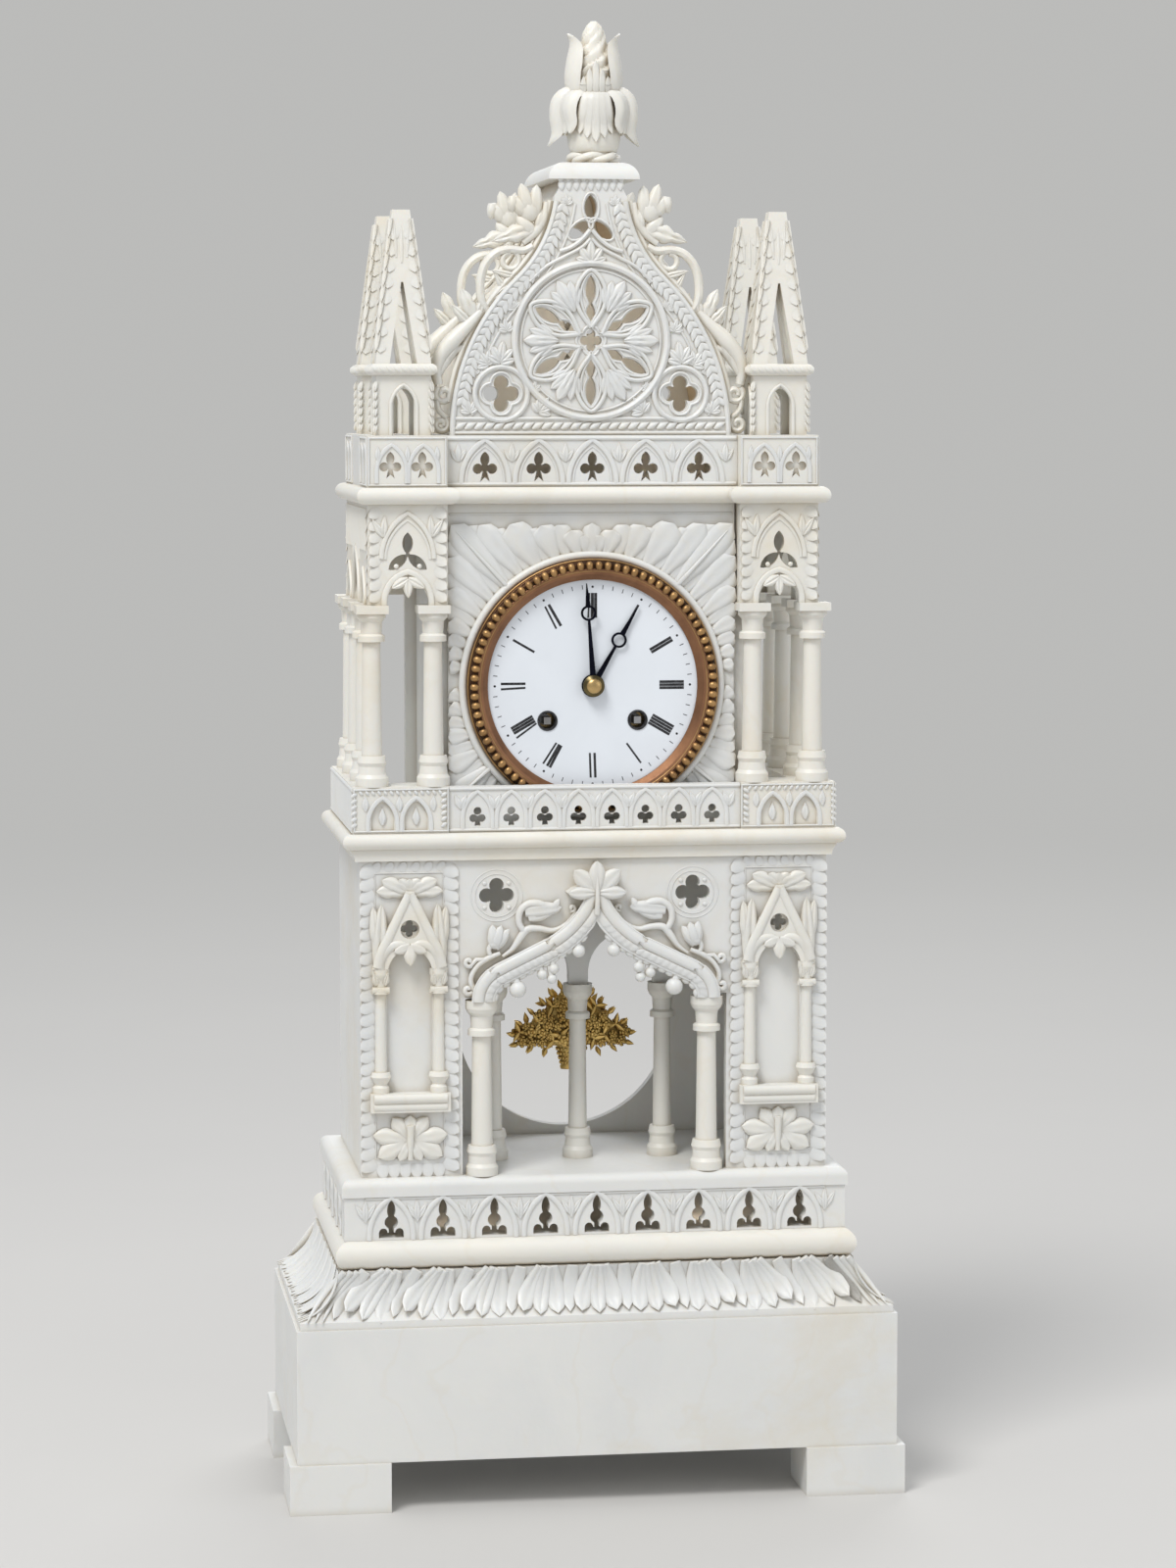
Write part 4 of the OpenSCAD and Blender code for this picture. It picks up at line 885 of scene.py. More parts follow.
@dataclass
class BaseCarving(SubAssembly):
    """Leaves of the hollow moulding and tracery of the pierced frieze.

    Attributes:
        top: Half-width and half-depth of the hollow's upper edge.
        flare: How far the hollow spreads down to its foot, across and deep.
        drop: Height of the hollow that the leaves cover.
        sag: Depth of the hollow.
        stand: How far the leaves stand off the hollow.
        kick: How far their tips curl outward.
    """

    top: Flat = (104.0, 56.2)
    flare: Flat = (16.0, 4.1)
    drop: float = 19.5
    sag: float = 4.0
    stand: float = 0.25
    kick: float = 1.4

    def hanging(self, leaf: Leaf, flare: float) -> Block:
        """Cut a leaf that hangs down the hollow and kicks out at its tip.

        Args:
            leaf: The leaf, its length given as a share of the hollow.
            flare: How far the hollow spreads on this side.

        Returns:
            The leaf.
        """
        chord = math.hypot(flare, self.drop)

        def hollow(share: float) -> Flat:
            """Line of the hollow."""
            u = share * leaf.length
            sag = 4 * self.sag * u * (1 - u)
            return (self.drop * u + sag * flare / chord,
                    flare * u - sag * self.drop / chord + self.stand + self.kick * share ** 8)
        return leaf.cut(hollow)

    def cavetto(self) -> None:
        """Cut rows of hanging three-lobed leaves on the four sides."""
        middle = Leaf(0.94, 7.8, 2.0, groove=0.55, foot=0.6, point=0.32, rows=10, half=4, belly=0.6)
        flank = Leaf(0.92, 8.2, 1.5, groove=0.5, foot=0.45, point=0.32, rows=10, half=4, belly=0.66)
        behind = Leaf(0.9, 6.4, 0.9, groove=0.3, foot=0.7, point=0.4, belly=0.6)
        reed = Leaf(0.97, 2.7, 0.8, groove=0.0, foot=0.9, point=0.5, half=2)
        self.start("cavetto_leaves", at(0, 0))
        for side in Side:
            half, out = self.top if side.wide else self.top[::-1]
            spread, flare = self.flare if side.wide else self.flare[::-1]
            count, splay = (10, 1.0) if side.wide else (7, 0.6)
            blocks = [self.hanging(leaf, flare) for leaf in (middle, flank, behind, reed)]
            self.bed = face(side, out, 0.0, Seat.of("leaf_cavetto").top)
            for i in range(count + 1):
                x = -half + 2 * half * i / count
                lobes = [(1, 2.6, 13.0), (1, -2.6, -13.0), (0, 0.0, 0.0), (2, half / count, 0.0)]
                if i in (0, count):
                    inward = -1 if i else 1
                    lobes = [(kind, inward * off, 0.0)
                             for kind, off in ((3, 1.9), (3, 4.6), (3, 7.2), (2, half / count))]
                for kind, off, turn in lobes:
                    lean = math.degrees(math.atan2((x + off) / half * spread, self.drop))
                    stretch = Matrix.Diagonal((1.0, 1.0 / math.cos(math.radians(lean)), 1.0, 1.0))
                    self.lay(blocks[kind], at(x + off, 0.0, 0.0, 180.0 + lean + turn * splay) @ stretch)
        self.carving.piece("case", Slot.ALABASTER, self.finish.stone)

    def frieze(self) -> None:
        """Cut pointed ribs round each piercing, with a leaf spray between them."""
        rib = Bench.rod(pointed_arch(8.8, 17.2), 1.15, facets=3)
        blade = Leaf(9.2, 3.4, 1.1, rows=6).cut()
        wing = Leaf(8.2, 3.0, 1.0, rows=6).cut()
        self.start("frieze_tracery", at(0, 0))
        for side in Side:
            self.bed = Seat.of("pierced_frieze").face(side)
            count, pitch = (9, 20.7) if side.wide else (4, 19.0)
            for i in range(count):
                self.lay(rib, at((i - (count - 1) / 2) * pitch, 0.0, 0.1) @ press(0.55))
            for i in range(count + 1):
                x = (i - count / 2) * pitch
                self.lay(blade, at(x, 7.4))
                self.lay(wing, *(at(x, 8.2, -0.1, turn) for turn in (-32, 32)))
            self.lay(Bench.bar(count * pitch / 2, 0.55), at(0, 16.9))
        self.carving.piece("case", Slot.ALABASTER, self.finish.stone)

    def build(self) -> None:
        """Cut the hollow moulding's leaves and the frieze's tracery."""
        self.cavetto()
        self.frieze()


# Lower storey


@dataclass
class Portal(SubAssembly):
    """Ogee arch with its ribs, palmette, leaf scrolls and berries.

    Attributes:
        shoulder: Middle of the shoulder's curve, from the middle of the capitals' tops.
        shoulder_r: Radius of the shoulder.
        sweep: Middle of the hollow curve that runs up to the point.
        sweep_r: Radius of that curve.
        rise: Rise of the last stretch to the point for each millimetre inward.
    """

    shoulder: Flat = (33.6, 0.0)
    shoulder_r: float = 12.0
    sweep: Flat = (36.62, 56.38)
    sweep_r: float = 40.0
    rise: float = 2.14

    def ogee(self, off: float) -> list[Flat]:
        """Right-hand line of the arch from its foot to its point.

        Args:
            off: How far the line is moved outward.

        Returns:
            The points of the line.
        """
        foot = arc(*self.shoulder, self.shoulder_r + off, 0.0, 64.0, 8)
        head = [p for p in arc(*self.sweep, self.sweep_r - off, 244.0, 205.0, 13) if p[0] > 0.3]
        x, y = head[-1]
        return foot + head + [(0.0, y + x * self.rise)]

    def ribs(self) -> None:
        """Lay two broad low rolls that meet at the point, with fine ones, and ripple the inner one."""
        for off, radius, out in ((1.9, 2.25, 5.0), (-2.0, 1.9, 4.7), (4.1, 0.55, 5.0), (-4.0, 0.6, 4.8)):
            roll = Bench.rod(smooth(self.ogee(off), 2), radius, facets=3)
            self.both(roll, at(0, 0, out) @ press(0.5))
        ripple = Bench.bead((1.9, 1.1, 0.24))
        for x, y, turn in along([p for p in self.ogee(-2.0) if p[0] > 2.5], 3.0):
            self.both(ripple, at(x, y, 5.45, turn + 40))

    def palmette(self) -> None:
        """Lay five leaves and a spine over the point of the arch."""
        for turn, length, width, out in ((90, 11.6, 5.6, 5.1), (45, 13.0, 7.4, 4.6), (0, 12.8, 7.0, 5.1)):
            leaf = Leaf(length, width, 2.0, curl=0.9, groove=0.35, foot=0.35, point=0.42, rows=9,
                        half=4, belly=0.58)
            self.fan(leaf.cut(), at(0.1, 43.0, out), turn)
        spine = smooth([(0.1, 34.5, 5.6), (0.1, 40.0, 6.6), (0.1, 46.5, 6.4), (0.1, 51.0, 6.0)])
        self.lay(Bench.rod(spine, [1.2 - 0.05 * i for i in range(len(spine))], facets=3))

    def scrolls(self) -> None:
        """Lay the stems, leaves, buds and curls that climb each side of the arch."""
        stems = [
            [(47.5, 2.0, 1.4), (50.2, 8.0, 1.1), (48.2, 13.2, 1.1), (44.0, 16.6, 1.2), (38.5, 19.0, 1.0)],
            [(37.4, 17.6, 0.7), (33.4, 20.6, 1.1), (30.4, 25.0, 1.5), (27.4, 28.4, 1.5), (22.6, 28.6, 1.3),
             (17.0, 27.6, 1.2), (11.6, 30.2, 1.1), (7.4, 35.0, 0.8)],
            [(29.0, 27.6, 1.3), (30.8, 31.2, 1.3), (30.4, 35.6, 1.4), (27.4, 38.4, 1.5), (23.6, 38.6, 1.7),
             (19.6, 37.4, 1.4)],
            [(42.0, 17.6, 0.9), (42.9, 20.6, 1.0), (40.6, 24.0, 1.3)],
            [(11.4, 30.4, 1.0), (9.2, 33.0, 0.9), (8.2, 35.2, 0.8)],
        ]
        for knots in stems:
            line = smooth(knots)
            radii = [max(0.3, radius) for *_, radius in line]
            self.both(Bench.rod([knot[:2] for knot in line], radii, facets=3), at(0, 0, 1.5))
        for line, radius in ((volute(51.0, 15.6, 1.9, 230, 0.9), 0.95),
                             (volute(51.3, 4.4, 1.9, 200, 0.9), 1.1),
                             (volute(9.3, 36.6, 1.5, 300, -0.95), 0.8),
                             ([(44.4, 16.4), (48.0, 16.6), (50.4, 14.0)], 0.9)):
            self.both(Bench.rod(line, radius), at(0, 0, 1.6))
        big = Leaf(14.8, 6.8, 2.0, curl=0.8, groove=0.3, foot=0.6, point=0.4, rows=10, half=4)
        low = Leaf(11.0, 4.6, 1.7, curl=0.4, groove=0.3, foot=0.5, point=0.5)
        hook = Leaf(5.4, 3.6, 1.6, curl=0.6, groove=0.2, foot=0.8, point=0.5, rows=6)
        petal = Leaf(9.4, 5.0, 1.9, curl=0.5, groove=0.2, foot=0.7, point=0.4, rows=7)
        for leaf, *places in ((big, at(28.4, 35.4, 1.3, 84)), (low, at(27.0, 32.6, 1.3, 76)),
                              (hook, at(17.0, 35.6, 1.3, 26)),
                              (petal, at(40.6, 21.2, 1.6, -6), at(40.6, 21.2, 1.6, 38),
                               at(40.6, 21.2, 2.0, 16))):
            self.both(leaf.cut(), *places)
        self.both(Bench.bead((2.5, 2.1, 1.8)), at(40.6, 22.6, 1.6))

    def berries(self) -> None:
        """Hang berries from the inner roll on short stalks, single and in threes, over a row of lips."""
        for x, y, radius in ((31.6, 4.6, 3.5), (21.8, 10.4, 2.15), (17.2, 12.6, 2.25), (17.9, 8.6, 2.1),
                             (7.1, 19.6, 2.65)):
            stalk = Bench.rod([(x, y), (x + 1.2, y + radius + 3.2)], [radius * 0.62, 1.0])
            self.both(stalk, at(0, 0, 3.6))
            self.both(Bench.bead((radius, radius, radius), 16, 10), at(x, y, 3.6))
        lip = Bench.bead((2.2, 1.5, 1.2))
        for x, y, turn in along([p for p in self.ogee(-4.6) if p[0] > 4], 3.6):
            self.both(lip, at(x, y, 3.6, turn))

    def build(self) -> None:
        """Cut the portal's carving, its frame's origin between the capitals' tops."""
        capitals_z = Seat.of("portal_arch").foot
        self.start("portal_carving", face(Side.FRONT, Seat.of("front_facade").front, 0.0, capitals_z))
        self.ribs()
        self.palmette()
        self.scrolls()
        self.berries()
        self.carving.piece("case", Slot.ALABASTER, self.finish.stone, crease=50)


@dataclass
class FacadePanels(SubAssembly):
    """Scalloped borders, niche carving and quatrefoil rings of the lower front.

    Attributes:
        niche_x: Distance of a niche from the clock's axis.
        sill_z: Height of a niche's sill.
        foil_x: Distance of a quatrefoil from the clock's axis.
        foil_z: Height of its middle.
    """

    niche_x: float = 74.6
    sill_z: float = 166.5
    foil_x: float = 39.6
    foil_z: float = 245.0

    def bed_at(self, across: float = 0.0, up: float = 0.0) -> Matrix:
        """Frame of the facade's face with its origin at a place on it."""
        return face(Side.FRONT, Seat.of("front_facade").front, across, up)

    def borders(self) -> None:
        """Cut scallops down both edges and along the foot and head of each side panel."""
        self.start("panel_borders", self.bed_at())
        shell = Leaf(6.8, 6.0, 0.3, curl=1.15, groove=0.0, foot=0.85, point=0.42, rows=7).cut()
        for start, end, pitch, shift, turn, size in (
                ((91.0, 257.6), (91.0, 134.6), 4.9, (-2.4, 1.8), -122, 1.0),
                ((58.4, 257.6), (58.4, 134.6), 4.9, (2.4, 1.8), 122, 1.0),
                ((61.0, 135.0), (88.0, 135.0), 4.6, (0.0, 2.6), 176, 0.85),
                ((60.0, 257.6), (91.0, 257.6), 4.9, (0.0, -2.2), 28, 0.6)):
            self.both(shell, *row(start, end, pitch, at(*shift, 0.0, turn, size)))
        rim = [(88.3, 139.8), (88.3, 254.6), (61.0, 254.6), (61.0, 139.8)]
        self.both(Bench.rod(rim, 0.4, closed=True))
        self.carving.piece("case", Slot.ALABASTER, self.finish.stone)

    def niche(self) -> None:
        """Lay the carving of one niche, its frame's origin on the sill."""
        self.lay(Bench.rod([(-14.6, 0), (14.6, 0)], 2.2, facets=3), at(0, -2.0, 3.0), at(0, -5.4, 2.4))
        leg = smooth([(12.6, 50.6), (11.4, 56.0), (9.2, 61.2), (5.2, 69.6), (0.3, 79.8)])
        hood = smooth([(12.0, 50.0), (11.2, 54.6), (8.2, 58.6), (4.0, 59.8), (0.8, 57.6)], 4)
        for line, radius in ((leg, [2.3 - 0.03 * i for i in range(len(leg))]), (hood, 1.9)):
            self.both(Bench.rod(line, radius, facets=3), at(0, 0, 2.7) @ press(0.55))
        drop = Leaf(8.0, 5.2, 1.7, curl=1.0, groove=0.3, foot=0.5, point=0.45, belly=0.5).cut()
        self.lay(drop, at(0, 59.4, 2.8, 180), at(0, 59.4, 2.8, 112, 0.86), at(0, 59.4, 2.8, 248, 0.86))
        tall = Leaf(24.0, 6.6, 2.4, curl=1.4, groove=0.5, foot=0.75, point=0.5, rows=12, half=4)
        short = Leaf(17.0, 5.4, 2.0, curl=0.8, groove=0.4, foot=0.7, point=0.5, rows=9)
        self.both(tall.cut(), at(12.0, 52.0, 0.9, 2))
        self.both(short.cut(), at(10.6, 53.0, 0.9, 14), at(12.2, 58.0, 0.9, -8))
        capital = Leaf(5.4, 3.0, 1.2, curl=1.2, foot=0.5).cut()
        for x in (-11.6, 11.6):
            self.lay(capital, *(at(x + off * 0.7, 43.6, 1.8, -off * 6) for off in (-2.2, 0.0, 2.2)))
            self.lay(Bench.rod([(x - 3.4, 41.6), (x + 3.4, 41.6)], 1.3), at(0, 0, 2.0))
        for turn, length, width, lobes, out in ((0, 5.2, 5.0, 0, 0.3), (40, 6.6, 5.6, 0, 0.3),
                                                (88, 13.2, 6.4, 2, 0.3), (66, 12.0, 6.8, 2, 0.6)):
            spray = Leaf(length, width, 1.5, curl=1.2, groove=0.35, lobes=lobes, foot=0.6, point=0.4,
                         rows=10, half=4, belly=0.55)
            self.fan(spray.cut(), at(0, 80.6, out), turn)
        for turn, length, width in ((38, 11.5, 7.0), (152, 9.5, 6.0), (118, 14.5, 8.6), (82, 15.0, 8.2),
                                    (0, 10.0, 7.0)):
            lobe = Leaf(length, width, 2.1, curl=0.9, groove=0.25, lobes=2, foot=0.5, point=0.38, rows=9,
                        half=4, belly=0.6)
            self.fan(lobe.cut(), at(0, -19.0, 0.2), turn)
        self.lay(Bench.rod([(0, -27, 1.2), (0, -13.0, 2.2)], [1.1, 1.6]))

    def niches(self) -> None:
        """Cut the carving of both niches."""
        self.start("niche_carving", at(0, 0))
        for sign in (1, -1):
            self.bed = self.bed_at(sign * self.niche_x, self.sill_z)
            self.niche()
        self.carving.piece("case", Slot.ALABASTER, self.finish.cream, crease=45)

    def quatrefoils(self) -> None:
        """Cut two fine rings and four dots round each quatrefoil."""
        self.start("quatrefoil_rings", at(0, 0))
        ring = Bench.hoop(10.4, 0.4)
        fine = Bench.hoop(8.6, 0.25)
        dot = Bench.bead((0.9, 0.9, 0.5))
        for sign in (1, -1):
            self.bed = self.bed_at(sign * self.foil_x, self.foil_z)
            self.lay(ring, at(0, 0, -0.2))
            self.lay(fine)
            self.lay(dot, *(at(0, 0, 0, turn) @ at(6.9, 0, 0.1) for turn in (45, 135, 225, 315)))
        self.carving.piece("case", Slot.ALABASTER, self.finish.stone)

    def build(self) -> None:
        """Cut the lower front's carving."""
        self.borders()
        self.niches()
        self.quatrefoils()


# Upper storey


@dataclass
class Balustrades(SubAssembly):
    """Tracery of the two balustrades, the pedestals and the corner blocks.

    Attributes:
        lower_pitch: Distance between the trefoils of the lower balustrade.
        upper_pitch: Distance between the piercings of the upper balustrade.
        reed_pitch: Distance between the reeds of the pedestals' sides.
        corner: Distance of a corner block's middle from the axis, across and deep.
    """

    lower_pitch: float = 13.5
    upper_pitch: float = 21.5
    reed_pitch: float = 2.25
    corner: Flat = (74.5, 31.7)

    def pedestals(self, leaf: Block) -> None:
        """Lay blind arches, rims and rope edges on the pedestals, and reeds on their sides.

        Args:
            leaf: The leaf of the lower balustrade.
        """
        seat = Seat.of("corner_pedestals")
        self.bed = seat.face(Side.FRONT)
        blind = Bench.rod(pointed_arch(5.9, 13.6, 6), 0.95)
        for x in (71.8, 85.2):
            self.both(blind, at(x, 0.8, 0.1) @ press(0.6))
            self.both(leaf, at(x, 3.4, -1.0, 0, 1.1))
        self.both(leaf, *(at(x, 9.0) for x in (78.5, 65.0, 92.0)))
        rim = Bench.rod([(0.8, 1.0), (38.0, 1.0), (38.0, 17.6), (0.8, 17.6)], 0.6, closed=True)
        self.both(rim, at(58.4, 0))
        twist = Bench.bead((0.85, 1.5, 0.6), 8, 5)
        for edge in (60.8, 96.6):
            self.both(twist, *row((edge, 2.2), (edge, 16.6), 2.3, at(0, 0, 0.2, 55)))
        self.both(twist, *row((61.0, 16.3), (95.0, 16.3), 2.4, at(0, 0, 0.2, -35, 0.8)))
        reed = Bench.rod([(0, 1.4), (0, 17.0)], 0.62)
        for side in (Side.LEFT, Side.RIGHT):
            self.bed = seat.face(side)
            self.lay(reed, *(at(i * self.reed_pitch, 0) for i in range(-21, 22)))
            self.lay(Bench.bar(48.6, 0.8), at(0, 17.4), at(0, 1.0))

    def lower(self) -> None:
        """Cut ribs round the trefoils and blind arches, with rope edges."""
        self.start("lower_rail_tracery", Seat.of("lower_balustrade").face(Side.FRONT))
        rib = Bench.rod(pointed_arch(6.0, 15.0, 6), 0.95)
        leaf = Leaf(6.4, 3.2, 0.9, rows=5).cut()
        self.lay(rib, *(at((i - 3.5) * self.lower_pitch, 1.4, 0.1) @ press(0.6) for i in range(8)))
        for i in range(-4, 5):
            self.lay(leaf, *(at(i * self.lower_pitch, 9.4, 0.0, turn) for turn in (-22, 22)))
        self.lay(Bench.bar(58.6, 0.7), at(0, 1.0), at(0, 17.4))
        self.pedestals(leaf)
        self.carving.piece("case", Slot.ALABASTER, self.finish.stone)

    def upper(self) -> None:
        """Cut ribs and leaves between the clubs of the upper balustrade and on the corner blocks."""
        leaf = Leaf(7.6, 3.4, 1.1, rows=6).cut()
        wing = Leaf(6.0, 2.6, 0.9, rows=6).cut()
        rib = Bench.rod(pointed_arch(9.6, 17.2), 1.1)
        fine = Bench.rod(pointed_arch(7.6, 14.6), 0.4)
        small = Bench.rod(pointed_arch(6.0, 15.2, 6), 0.9)
        self.start("upper_rail_tracery", at(0, 0))
        for side in (Side.FRONT, Side.BACK):
            self.bed = Seat.of("upper_balustrade").face(side)
            for i in range(-2, 3):
                for block in (rib, fine):
                    self.lay(block, at(i * self.upper_pitch, 1.4, 0.1) @ press(0.6))
            for i in range(6):
                x = (i - 2.5) * self.upper_pitch
                self.lay(leaf, at(x, 10.0))
                self.lay(wing, *(at(x, 10.0, -0.1, turn) for turn in (-34, 34)))
            self.lay(Bench.bar(58, 0.8), at(0, 19.2), at(0, 1.1))
        for side in Side:
            across, half = (self.corner[0], 15.2) if side.wide else (self.corner[1], 13.6)
            rim = Bench.rod([(-half, 0.9), (half, 0.9), (half, 19.4), (-half, 19.4)], 0.6, closed=True)
            for sign in (1, -1):
                self.bed = Seat.of("corner_blocks").face(side, sign * across)
                self.lay(small, *(at(x, 1.6, 0.1) @ press(0.6) for x in (-6.2, 6.4)))
                self.lay(leaf, *(at(x, 10.4, 0.0, 0, 0.8) for x in (-11.6, 0.1, 11.8)))
                self.lay(rim)
        self.carving.piece("case", Slot.ALABASTER, self.finish.stone)

    def build(self) -> None:
        """Cut both balustrades' tracery."""
        self.lower()
        self.upper()


@dataclass
class DialPanel(SubAssembly):
    """Acanthus leaves that spring from the dial towards the four corners of its panel.

    Attributes:
        ring_r: Radius at which the lobes spring.
        rim_r: Radius of the plain ring round the bezel.
    """

    ring_r: float = 52.8
    rim_r: float = 52.0

    def root(self, start: float) -> Flat:
        """Where a lobe springs from the ring, its angle in degrees."""
        return self.ring_r * math.cos(math.radians(start)), self.ring_r * math.sin(math.radians(start))

    def lobe(self, start: float, tip: Flat, width: float, level: float) -> None:
        """Lay one lobe from the ring to its tip, on both halves of the panel.

        Args:
            start: Angle on the ring where the lobe springs.
            tip: Where the lobe ends.
            width: Width of the lobe.
            level: How far it stands forward of its neighbours.
        """
        x, y = self.root(start)
        leaf = Leaf(math.dist((x, y), tip) + 0.8, width * 1.12, 1.7, curl=1.6, groove=0.3, foot=0.34,
                    point=0.27, rows=10, half=4, belly=0.72)
        self.both(leaf.cut(), at(x, y, level, math.degrees(math.atan2(tip[1] - y, tip[0] - x)) - 90))

    def midrib(self, start: float, tip: Flat) -> None:
        """Lay the rib along the middle lobe of a corner leaf.

        Args:
            start: Angle on the ring where the rib springs.
            tip: Where the rib ends.
        """
        x, y = self.root(start)
        line = [(x, y, 1.8), ((x + tip[0]) / 2, (y + tip[1]) / 2, 2.6), (*tip, 2.4)]
        self.both(Bench.rod(line, [0.9, 0.7, 0.35]))

    def build(self) -> None:
        """Cut the leaves and the plain ring round the bezel."""
        front = Seat.of("dial_panel").front
        self.start("dial_corner_leaves", face(Side.FRONT, front, 0.0, Seat.of("enamel_dial").middle))
        self.lay(Bench.hoop(self.rim_r, 1.7, 90, 3), at(0, 0, 1.2))
        under = Leaf(13.6, 7.6, 1.7, curl=1.2, groove=0.2, foot=0.5, point=0.3, belly=0.7).cut()
        self.lay(under, *(at(-turn * 0.3, 51.2, 0.4 * (turn == 0), turn * -1.4) for turn in (-7, 7, 0)))
        for start, tip, width, level in (
                (53, (50.5, 63.0), 9.6, 0.0), (57, (45.0, 63.4), 9.6, 0.5), (61, (39.5, 61.4), 9.0, 0.0),
                (65.5, (32.8, 63.6), 12.0, 0.6), (70, (26.0, 61.4), 9.4, 0.0), (74, (20.5, 63.0), 10.0, 0.5),
                (79, (14.0, 63.2), 9.4, 0.1), (84, (8.6, 61.0), 8.4, 0.5), (88, (3.4, 59.0), 7.0, 0.3),
                (45, (57.0, 57.0), 9.6, 0.0), (40.5, (57.2, 50.6), 9.4, 0.5), (36, (57.2, 44.2), 9.0, 0.0),
                (32, (57.2, 37.8), 8.4, 0.4), (27.5, (57.2, 31.6), 8.0, 0.0), (23, (57.0, 25.4), 7.4, 0.3),
                (18, (57.0, 19.4), 7.0, 0.0), (13, (56.8, 13.6), 6.6, 0.2), (8, (56.6, 8.0), 6.0, 0.0),
                (49.2, (56.2, 63.6), 10.5, 0.8), (-34, (57.0, -38.6), 9.0, 0.0),
                (-30, (57.2, -32.4), 9.0, 0.4), (-26, (57.2, -26.2), 8.4, 0.0),
                (-21.5, (57.2, -20.2), 8.0, 0.3), (-17, (57.0, -14.2), 7.0, 0.0),
                (-12, (56.8, -8.6), 6.6, 0.2), (-6, (56.6, -3.0), 6.0, 0.0),
                (-43, (50.5, -47.0), 9.0, 0.0), (-38.5, (55.6, -45.4), 10.5, 0.7)):
            self.lobe(start, tip, width, level)
        self.midrib(49.2, (54.6, 61.6))
        self.midrib(-38.5, (54.0, -43.9))
        self.lay(Bench.rod([(-57.0, 68.4), (57.0, 68.4)], 0.5))
        self.carving.piece("case", Slot.ALABASTER, self.finish.stone, crease=45)


@dataclass
class Turrets(SubAssembly):
    """Carving of the turret heads: borders, ribs, pendants and reeded sides.

    Attributes:
        turret_x: Distance of a turret's middle from the clock's axis.
        reed_pitch: Distance between the reeds of the sides.
        arch_half: Half-width of the side's great arch, over which the reeds are shorter.
    """

    turret_x: float = 74.5
    reed_pitch: float = 3.0
    arch_half: float = 15.0

    def front(self, shell: Block) -> None:
        """Lay the carving of one turret's front, on its own middle line.

        Args:
            shell: The scallop of the borders.
        """
        for x, turn in ((11.0, -128), (-11.0, 128)):
            self.lay(shell, *row((x, 38.6), (x, 1.0), 4.7, at(0, 1.6, -0.1, turn)))
        for half, height, sharp, low, radius, out in (
                (9.4, 13.2, 1.3, 0.0, 1.235, 0.3), (10.4, 36.4, 2.0, 9.0, 1.04, 0.1),
                (8.9, 33.6, 2.0, 9.0, 0.65, 0.0)):
            line = [p for p in pointed_arch(half, height, sharp=sharp) if p[1] >= low]
            self.lay(Bench.rod(line, radius), at(0, 0, out) @ press(0.7))
        drop = Leaf(7.6, 4.4, 1.8, curl=1.1, foot=0.4, point=0.55).cut()
        self.lay(drop, *(at(0, 10.6, 0.4, turn) for turn in (180, 120, 240)))
        self.both(Bench.bead((1.0, 1.0, 0.7)), at(4.6, 15.4, 0.1))
        spray = Leaf(8.5, 3.6, 1.3, curl=0.5, rows=7).cut()
        self.both(spray, *(at(9.6, 27.0, 0.0, turn - 14) for turn in (18, -18)))

    def side(self, shell: Block) -> None:
        """Lay the reeds and arches of one side.

        Args:
            shell: The scallop of the borders.
        """
        for i in range(-14, 15):
            x = i * self.reed_pitch
            low = 23.0 - min(abs(x), 14.0) * 0.5 if abs(x) < self.arch_half else 21.5
            self.lay(Bench.rod([(0, low), (0, 38.0)], 0.75), at(x, 0))
        self.lay(Bench.rod(pointed_arch(13.6, 21.6), 0.9), at(0, 0, 0.2))
        self.lay(Bench.rod(pointed_arch(9.0, 14.2), 0.9), at(-30.0, 0, 0.2), at(30.0, 0, 0.2))
        for x in (-44.0, 44.0):
            self.lay(shell, *row((x, 40.6), (x, 3.0), 5.2, at(0, 0, 0, 180, 0.7)))

    def build(self) -> None:
        """Cut both turrets on the front, and the sides' reeds."""
        self.start("turret_carving", at(0, 0))
        shell = Leaf(5.4, 5.0, 0.3, curl=1.3, groove=0.0, foot=0.8, point=0.42, rows=6).cut()
        heads = Seat.of("turret_heads")
        for sign in (1, -1):
            self.bed = heads.face(Side.FRONT, sign * self.turret_x)
            self.front(shell)
        for side in (Side.LEFT, Side.RIGHT):
            self.bed = heads.face(side)
            self.side(shell)
        self.carving.piece("case", Slot.ALABASTER, self.finish.cream)


# Crown


